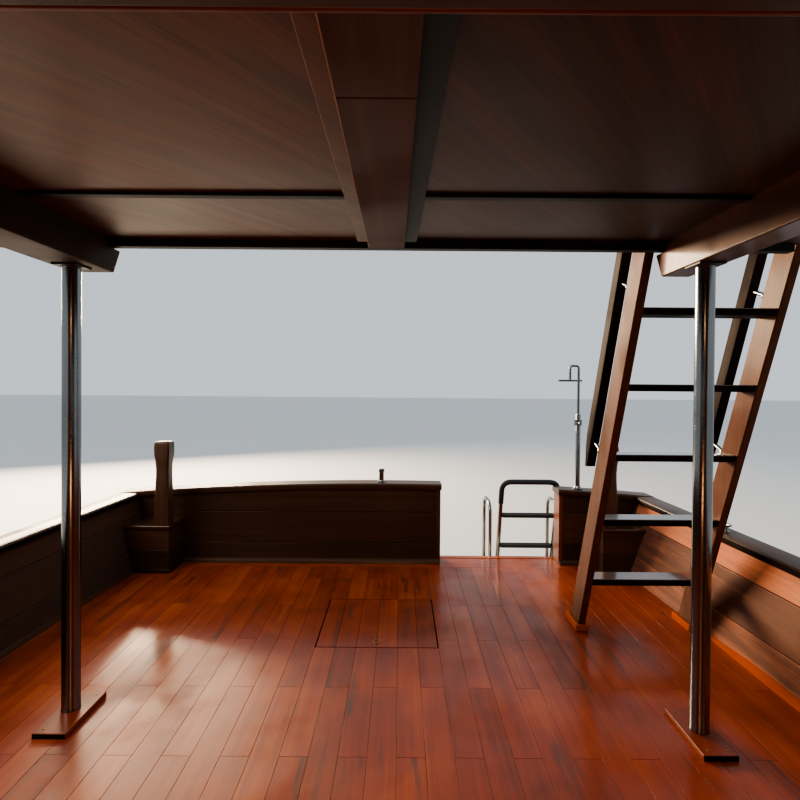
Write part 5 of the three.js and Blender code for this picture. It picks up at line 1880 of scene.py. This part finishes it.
def screen_bar(bars, y0, y1, z0, z1, back=FRONT_WALL, front=0.0, along=1, tone=None):
    """A bar in the raked front; back and front are depths behind its outer face."""
    corners = [
        Vector((on_screen(z, depth), y, z)) for z in (z0, z1) for y in (y0, y1) for depth in (back, front)
    ]
    bars.solid(corners, BOX_FACES, along, tone)


def house_front():
    boards, frames, panes = Timber(130), Timber(132), Timber(133)
    half, back, (bottom, top) = HOUSE_HALF, HOUSE_FORE - FRONT_WALL, SCREEN_LEVELS
    for a, b in spans(spread(-half, half, 29)):
        boards.board((back, a + BOARD_GAP, DECK), (HOUSE_FORE, b - BOARD_GAP, SCREEN_FOOT), along=2)
    screen_bar(boards, -half, half, SCREEN_FOOT, bottom)
    screen_bar(boards, -half, half, top, CEILING)
    edges = (-half, *(edge for span in SCREENS for edge in span), half)
    for a, b in zip(edges[::2], edges[1::2]):
        screen_bar(boards, a, b, bottom, top, along=2)
    boards.made("house_front_boards", WARM_WOOD, replaces=("house_front",), bevel=0.003)
    for a, b in SCREENS:
        for bar in four_bars(a, b, bottom, top, 0.03):
            screen_bar(frames, *bar, FRONT_WALL + 0.006, -0.006, tone=0.3)
        screen_bar(panes, a + 0.028, b - 0.028, bottom + 0.028, top - 0.028, 0.032, 0.026, tone=0.5)
    frames.made("windscreen_frames", DARK_WOOD, bevel=0.003)
    panes.made("windscreen_panes", GLASS, replaces=("windscreen",))
    low, high = (back + 0.004, 0.003 - half, DECK), (HOUSE_FORE - 0.004, half - 0.003, 2.04)
    lone_board(131, low, high, "house_front_core", SEAM)
    low, high = (HOUSE_FORE - 0.01, 0.02 - half, 2.052), (HOUSE_FORE + 0.030, half - 0.02, 2.078)
    lone_board(134, low, high, "windscreen_sill", DARK_WOOD, along=1, bevel=0.005)


house_aft()
house_front()
print("deckhouse walls are built")

# %% Sliding side doors
LEAF_AFT, LEAF_FORE, LEAF_LOW, LEAF_HIGH = 1.310, 2.040, 1.0408, 2.914
LEAF_INNER = HOUSE_HALF + 0.006
LEAF_OUTER = LEAF_INNER + 0.035
STILE = 0.110
BOTTOM_RAIL, TOP_RAIL, MIDDLE_RAIL = 0.16, 0.150, (1.800, 1.930)


def door_leaf(side, sign, body):
    leaf = Timber(136 + sign, sign)
    inner, outer, low, high = LEAF_INNER, LEAF_OUTER, LEAF_LOW, LEAF_HIGH
    aft, fore = LEAF_AFT + STILE, LEAF_FORE - STILE
    for x0, x1 in ((LEAF_AFT, aft), (fore, LEAF_FORE)):
        leaf.board((x0, inner, low), (x1, outer, high), along=2, tone=0.5)
    for z0, z1 in ((low, low + BOTTOM_RAIL), MIDDLE_RAIL, (high - TOP_RAIL, high)):
        leaf.board((aft, inner, z0), (fore, outer, z1), tone=0.45)
    z0, z1 = low + BOTTOM_RAIL, MIDDLE_RAIL[0]
    leaf.board((aft, inner + 0.011, z0), (fore, inner + 0.024, z1), along=2, tone=0.65)
    low, high = (aft + 0.05, inner + 0.005, z0 + 0.05), (fore - 0.05, inner + 0.030, z1 - 0.05)
    leaf.board(low, high, along=2, tone=0.7)
    leaf.made(f"side_door_{side}_leaf", WARM_WOOD, body=body, replaces=(f"side_door_{side}",), bevel=0.004)


def door_fittings(side, sign, body):
    """The pane in its bead, and the handle."""
    bead, panes, handle = Timber(139, sign), Timber(140, sign), Timber(141)
    aft, fore = LEAF_AFT + STILE, LEAF_FORE - STILE
    low, high = MIDDLE_RAIL[1], LEAF_HIGH - TOP_RAIL
    frame_of(bead, LEAF_INNER + 0.006, LEAF_INNER + 0.029, (aft, fore, low, high), 0.022)
    bead.made(f"side_door_{side}_bead", DARK_WOOD, body=body, bevel=0.003)
    panes.board((aft + 0.02, LEAF_INNER + 0.014, low + 0.02), (fore - 0.02, LEAF_INNER + 0.020, high - 0.02))
    panes.made(f"side_door_{side}_pane", GLASS, body=body)
    x, y, out = LEAF_FORE - 0.055, sign * LEAF_OUTER, sign * (LEAF_OUTER + 0.034)
    handle.tube(bent([(x, y, 1.62), (x, out, 1.62), (x, out, 1.80), (x, y, 1.80)], 0.018, 5), 0.008, 14)
    handle.made(f"side_door_{side}_handle", STEEL, body=body)


for side, sign in SIDES:
    door_leaf(side, sign, f"door_{side}")
    door_fittings(side, sign, f"door_{side}")
print("side doors are built")

# %% [markdown]
# ## Inside the deckhouse
# The helm is a desk with a tilted top, a few round dials, a compass and a throttle lever, and a turned wooden
# wheel with six spokes. Along each side runs a bench of slats on knees, open enough to dry.

# %% Helm
HELM_X, HELM_Y = 1.750, -0.750
DESK_UP = Vector((-0.236, 0, 0.972))
DIALS = ((-0.27, 0.036), (-0.13, 0.050), (0.0, 0.050), (0.13, 0.050), (0.27, 0.036))
BOWL = ((0.03, 0.056), (0.05, 0.055), (0.068, 0.047), (0.082, 0.032), (0.090, 0.012))
KNOB = ((0.125, 0.008), (0.132, 0.018), (0.148, 0.022), (0.164, 0.016), (0.170, 0.006))
WHEEL = Vector((HELM_X - 0.070, HELM_Y, 1.720))
WHEEL_RADIUS = 0.215
SPOKE = (
    (0.020, 0.011), (0.060, 0.010), (0.085, 0.013), (0.110, 0.009), (0.150, 0.010), (0.190, 0.012),
    (0.232, 0.011), (0.238, 0.008), (0.250, 0.012), (0.268, 0.0115), (0.275, 0.006),
)
HUB = ((-0.030, 0.014), (-0.024, 0.026), (-0.012, 0.032), (0.0, 0.032), (0.0695, 0.030))


def helm_desk():
    dress("helm_console", WARM_WOOD, along=2, bevel=0.008, tone=0.45)
    dials, faces, compass, bowl, lever = (Timber(seed) for seed in (145, 146, 147, 148, 149))
    for across, radius in DIALS:
        foot = (HELM_X + 0.10, HELM_Y + across, 1.955)
        dials.turned(foot, DESK_UP, ((0, radius), (0.012, radius), (0.016, radius * 0.86)), 28)
        faces.turned(foot, DESK_UP, ((0.0162, radius * 0.82), (0.0180, radius * 0.82)), 28)
    dials.made("helm_dials", STEEL)
    faces.made("helm_dial_faces", DARK_PAINT_AND_SHADE)
    top = (HELM_X + 0.38, HELM_Y, 2.008)
    compass.turned(top, UP, ((0, 0.07), (0.02, 0.07), (0.03, 0.055)), 28)
    compass.made("compass_base", DARK_PAINT_AND_SHADE)
    bowl.turned(top, UP, BOWL, 28)
    bowl.made("compass_bowl", GLASS)
    x, y, z = HELM_X + 0.20, HELM_Y + 0.36, 1.975
    lever.board((x - 0.04, y - 0.03, z - 0.02), (x + 0.04, y + 0.03, z + 0.01))
    lever.tube([(x, y, z), (x + 0.03, y, z + 0.13)], 0.007, 12)
    lever.turned((x, y, z), (0.23, 0, 1), KNOB, 16)
    lever.made("throttle_lever", STEEL, bevel=0.002)


def helm_wheel():
    rim, hub = Timber(150), Timber(151)
    rim.tube(circle(WHEEL, ACROSS, UP, WHEEL_RADIUS, 48), 0.0145, 14, tone=0.5)
    for k in range(6):
        turn = math.radians(60 * k)
        rim.turned(WHEEL, (0, math.cos(turn), math.sin(turn)), SPOKE, 12)
    rim.made("wheel_rim", DARK_WOOD, body="wheel", replaces=("helm_wheel",))
    hub.turned(WHEEL, ALONG, HUB, 24)
    hub.made("wheel_hub", BRONZE, body="wheel")


helm_desk()
helm_wheel()
print("helm is built")

# %% Benches
BENCH_AFT, BENCH_FORE = -3.100, 0.400
SEAT_UNDER = 1.412


def bench(side, sign):
    slats, knees = Timber(154 + sign, sign), Timber(157 + sign, sign)
    x0, x1 = BENCH_AFT, BENCH_FORE
    for y0, y1 in spans(spread(1.000, 1.470, 6)):
        slats.board((x0, y0 + 0.004, SEAT_UNDER), (x1, y1 - 0.004, 1.4403))
    for z in (1.493, 1.613, 1.733):
        slats.board((x0, 1.488, z), (x1, 1.508, z + 0.112))
    slats.made(f"bench_slats_{side}", WARM_WOOD, replaces=(f"bench_{side}",), bevel=0.006)
    for x in spread(x0 + 0.03, x1 - 0.07, 5):
        knees.board((x, 1.010, DECK), (x + 0.04, 1.060, 1.372), along=2)
        knees.board((x, 1.010, 1.366), (x + 0.04, 1.500, SEAT_UNDER), along=1)
        knees.board((x, 1.508, DECK), (x + 0.04, 1.540, 1.850), along=2)
    knees.board((x0 + 0.03, 1.018, 1.30), (x1 - 0.03, 1.046, 1.366))
    knees.made(f"bench_frame_{side}", DARK_WOOD, bevel=0.004)


for side, sign in SIDES:
    bench(side, sign)
print("benches are built")

# %% [markdown]
# ## Guard rails, mast and lamps
# The upper deck is fenced with bent steel tube: a thick top rail, two thinner ones and uprights that stand on
# round foot plates. The short mast carries the white light, and the side lights are red to port and green to
# starboard, as on every boat.

# %% Guard rails
RAIL_HEIGHT, RAIL_INSET, POST_GAP, RAIL_END = 0.900, 0.090, 1.250, 0.06
RAILS = ((1.0, 0.0195), (0.62, 0.0115), (0.32, 0.0115))
RAIL_Y = ROOF_HALF - RAIL_INSET
RAIL_AFT, RAIL_FORE = ROOF_AFT + RAIL_INSET, ROOF_FORE - RAIL_INSET


def guard_rail(name, start, end):
    rail = Timber(160)
    start, end = Vector((*start, ROOF_TOP)), Vector((*end, ROOF_TOP))
    length = (end - start).length
    count = max(1, round(length / POST_GAP))
    for step in range(count + 1):
        foot = start.lerp(end, step / count)
        flange(rail, *foot, 0.036)
        rail.turned(foot, UP, ((0, 0.0155), (RAIL_HEIGHT - 0.012, 0.0155)))
    for share, r in RAILS:
        profile = (
            (-0.9 * r, 0.5 * r), (-0.4 * r, 0.94 * r), (0, r),
            (length, r), (length + 0.4 * r, 0.94 * r), (length + 0.9 * r, 0.5 * r),
        )
        rail.turned(start + RAIL_HEIGHT * share * UP, (end - start).normalized(), profile, 18)
    rail.made(f"{name}_tubes", STEEL, replaces=(name,))


for side, sign in (("port", 1), ("starboard", -1)):
    y = sign * RAIL_Y
    guard_rail(f"guard_rail_{side}", (RAIL_AFT + RAIL_END, y), (RAIL_FORE - RAIL_END, y))
guard_rail("guard_rail_aft", (RAIL_AFT, RAIL_END - RAIL_Y), (RAIL_AFT, LADDER_GAP))
guard_rail("guard_rail_fore", (RAIL_FORE, RAIL_END - RAIL_Y), (RAIL_FORE, RAIL_Y - RAIL_END))
print("guard rails are built")

# %% Mast and lamps
MAST_X, MAST_TOP = 1.900, 4.950
POLE = (
    (3.20, 0.048), (3.26, 0.048), (4.2, 0.041), (4.44, 0.0385), (4.445, 0.044), (4.60, 0.044),
    (4.605, 0.0375), (MAST_TOP - 0.02, 0.034), (MAST_TOP, 0.030),
)
YARD = ((-0.380, 0.014), (-0.372, 0.020), (0, 0.022), (0.372, 0.020), (0.380, 0.014))
LAMP_GLASS = ((0.012, 0.022), (0.02, 0.026), (0.075, 0.026), (0.085, 0.020), (0.09, 0.008))


def mast():
    x, top = MAST_X, (MAST_X, 0, MAST_TOP)
    pole, glass = Timber(164), Timber(165)
    pole.board((x - 0.11, -0.11, ROOF_TOP), (x + 0.11, 0.11, ROOF_TOP + 0.03))
    pole.turned((x, 0, 0), UP, POLE, 28)
    pole.turned((x, 0, 4.52), ACROSS, YARD, 18)
    pole.turned(top, UP, ((0, 0.042), (0.022, 0.042)), 28)
    pole.turned(top, UP, ((0.088, 0.042), (0.104, 0.040), (0.110, 0.020)), 28)
    pole.made("mast_pole", STEEL, replaces=("mast",), bevel=0.002)
    glass.turned(top, UP, ((0.022, 0.037), (0.088, 0.037)), 28)
    glass.made("mast_lamp_glass", WHITE_GLASS)


def side_light(side, sign, finish):
    x, z = ROOF_FORE - 0.30, ROOF_TOP + TOE_HIGH
    box, glass = Timber(168, sign), Timber(169)
    box.board((x - 0.12, ROOF_HALF - 0.042, z - 0.004), (x + 0.12, ROOF_HALF - 0.002, z + 0.012))
    box.board((x - 0.12, ROOF_HALF - 0.045, z), (x + 0.12, ROOF_HALF - 0.035, z + 0.12))
    box.made(f"side_light_{side}_box", DARK_PAINT_AND_SHADE, bevel=0.002)
    glass.turned((x, sign * (ROOF_HALF - 0.012), z), UP, LAMP_GLASS, 22)
    glass.made(f"side_light_{side}_glass", finish)


mast()
side_light("starboard", -1, GREEN_GLASS)
side_light("port", 1, RED_GLASS)
print("mast and lamps are built")

# %% [markdown]
# ## The foredeck
# The foredeck slopes up to the bow. It carries a framed hatch, hinged on its fore side, and a strong bitt with
# a cross bar for the mooring lines. Both stand square to the sloping deck, so their points are turned with it.

# %% Fore hatch and bow bitt
SLOPE = Matrix.Translation((4.600, 0, 1.4503)) @ Matrix.Rotation(-math.atan(FORE_SLOPE), 4, "Y")
COAMING_HALF, COAMING_WIDTH, COAMING_TOP = 0.320, 0.045, 0.13
LID_HALF, LID_WIDTH, LID_FOOT, LID_TOP = 0.332, 0.09, 0.1303, 0.162
HANDLE = ((-0.22, -0.07, 0.160), (-0.22, -0.07, 0.195), (-0.22, 0.07, 0.195), (-0.22, 0.07, 0.160))
BITT = (1.700, 0.330)
BITT_PROFILE = (  # height, half width, corner cut
    (0.0, 0.060, 0.003), (0.02, 0.060, 0.008), (0.27, 0.060, 0.010), (0.38, 0.060, 0.010),
    (0.415, 0.059, 0.010), (0.430, 0.046, 0.008),
)
BITT_BAR = (
    (-0.190, 0.016), (-0.180, 0.022), (-0.150, 0.022), (-0.10, 0.019),
    (0.10, 0.019), (0.150, 0.022), (0.180, 0.022), (0.190, 0.016),
)


def on_slope(point):
    return SLOPE @ Vector(point)


def square_frame(bars, half, width, z0, z1, tone=None):
    for k, (x0, x1, y0, y1) in enumerate(four_bars(-half, half, -half, half, width)):
        bars.board((x0, y0, z0), (x1, y1, z1), k // 2, tone, on_slope)


def fore_hatch():
    coaming, lid, handle = Timber(172), Timber(173), Timber(175)
    square_frame(coaming, COAMING_HALF, COAMING_WIDTH, 0, COAMING_TOP)
    coaming.made("hatch_coaming", WARM_WOOD, replaces=("fore_hatch_coaming",), bevel=0.006)
    square_frame(lid, LID_HALF, LID_WIDTH, LID_FOOT, LID_TOP, 0.5)
    inner = LID_HALF - LID_WIDTH
    for y0, y1 in spans(spread(-inner, inner, 4)):
        lid.board((-inner, y0 + 0.001, LID_FOOT), (inner, y1 - 0.001, 0.1585), place=on_slope)
    lid.made("fore_hatch_boards", WARM_WOOD, body="fore_lid", replaces=("fore_hatch_lid",), bevel=0.003)
    handle.tube(bent([on_slope(point) for point in HANDLE], 0.015, 5), 0.006, 12)
    for y in (-0.2, 0.2):
        handle.board((0.27, y - 0.025, LID_TOP - 0.0005), (0.328, y + 0.025, LID_TOP + 0.0025), place=on_slope)
    handle.made("fore_hatch_handle", STEEL, body="fore_lid")


def bow_bitt():
    post, bar = Timber(176), Timber(177)
    x, height = BITT
    rings = [[on_slope(point) for point in octagon(x, 0, z, half, cut)] for z, half, cut in BITT_PROFILE]
    post.loft(rings, along=2)
    post.made("bitt_post", DARK_WOOD, replaces=("bow_bitt",), bevel=0.002)
    bar.tube([on_slope((x, y, height)) for y, _ in BITT_BAR], [radius for _, radius in BITT_BAR], 20)
    bar.made("bitt_bar", STEEL)


fore_hatch()
bow_bitt()
print("foredeck is built")

# %% [markdown]
# ## Below the waterline
# The keel, screw and rudder lie under the floor, so they only get their paint and bronze and rounded edges.

# %% Keel, rudder and screw
for node, finish, bevel in (
    ("keel", BOTTOM_PAINT, 0.006), ("rudder", BOTTOM_PAINT, 0.003), ("propeller", BRONZE, 0.001),
):
    print(dress(node, finish, bevel=bevel).name)
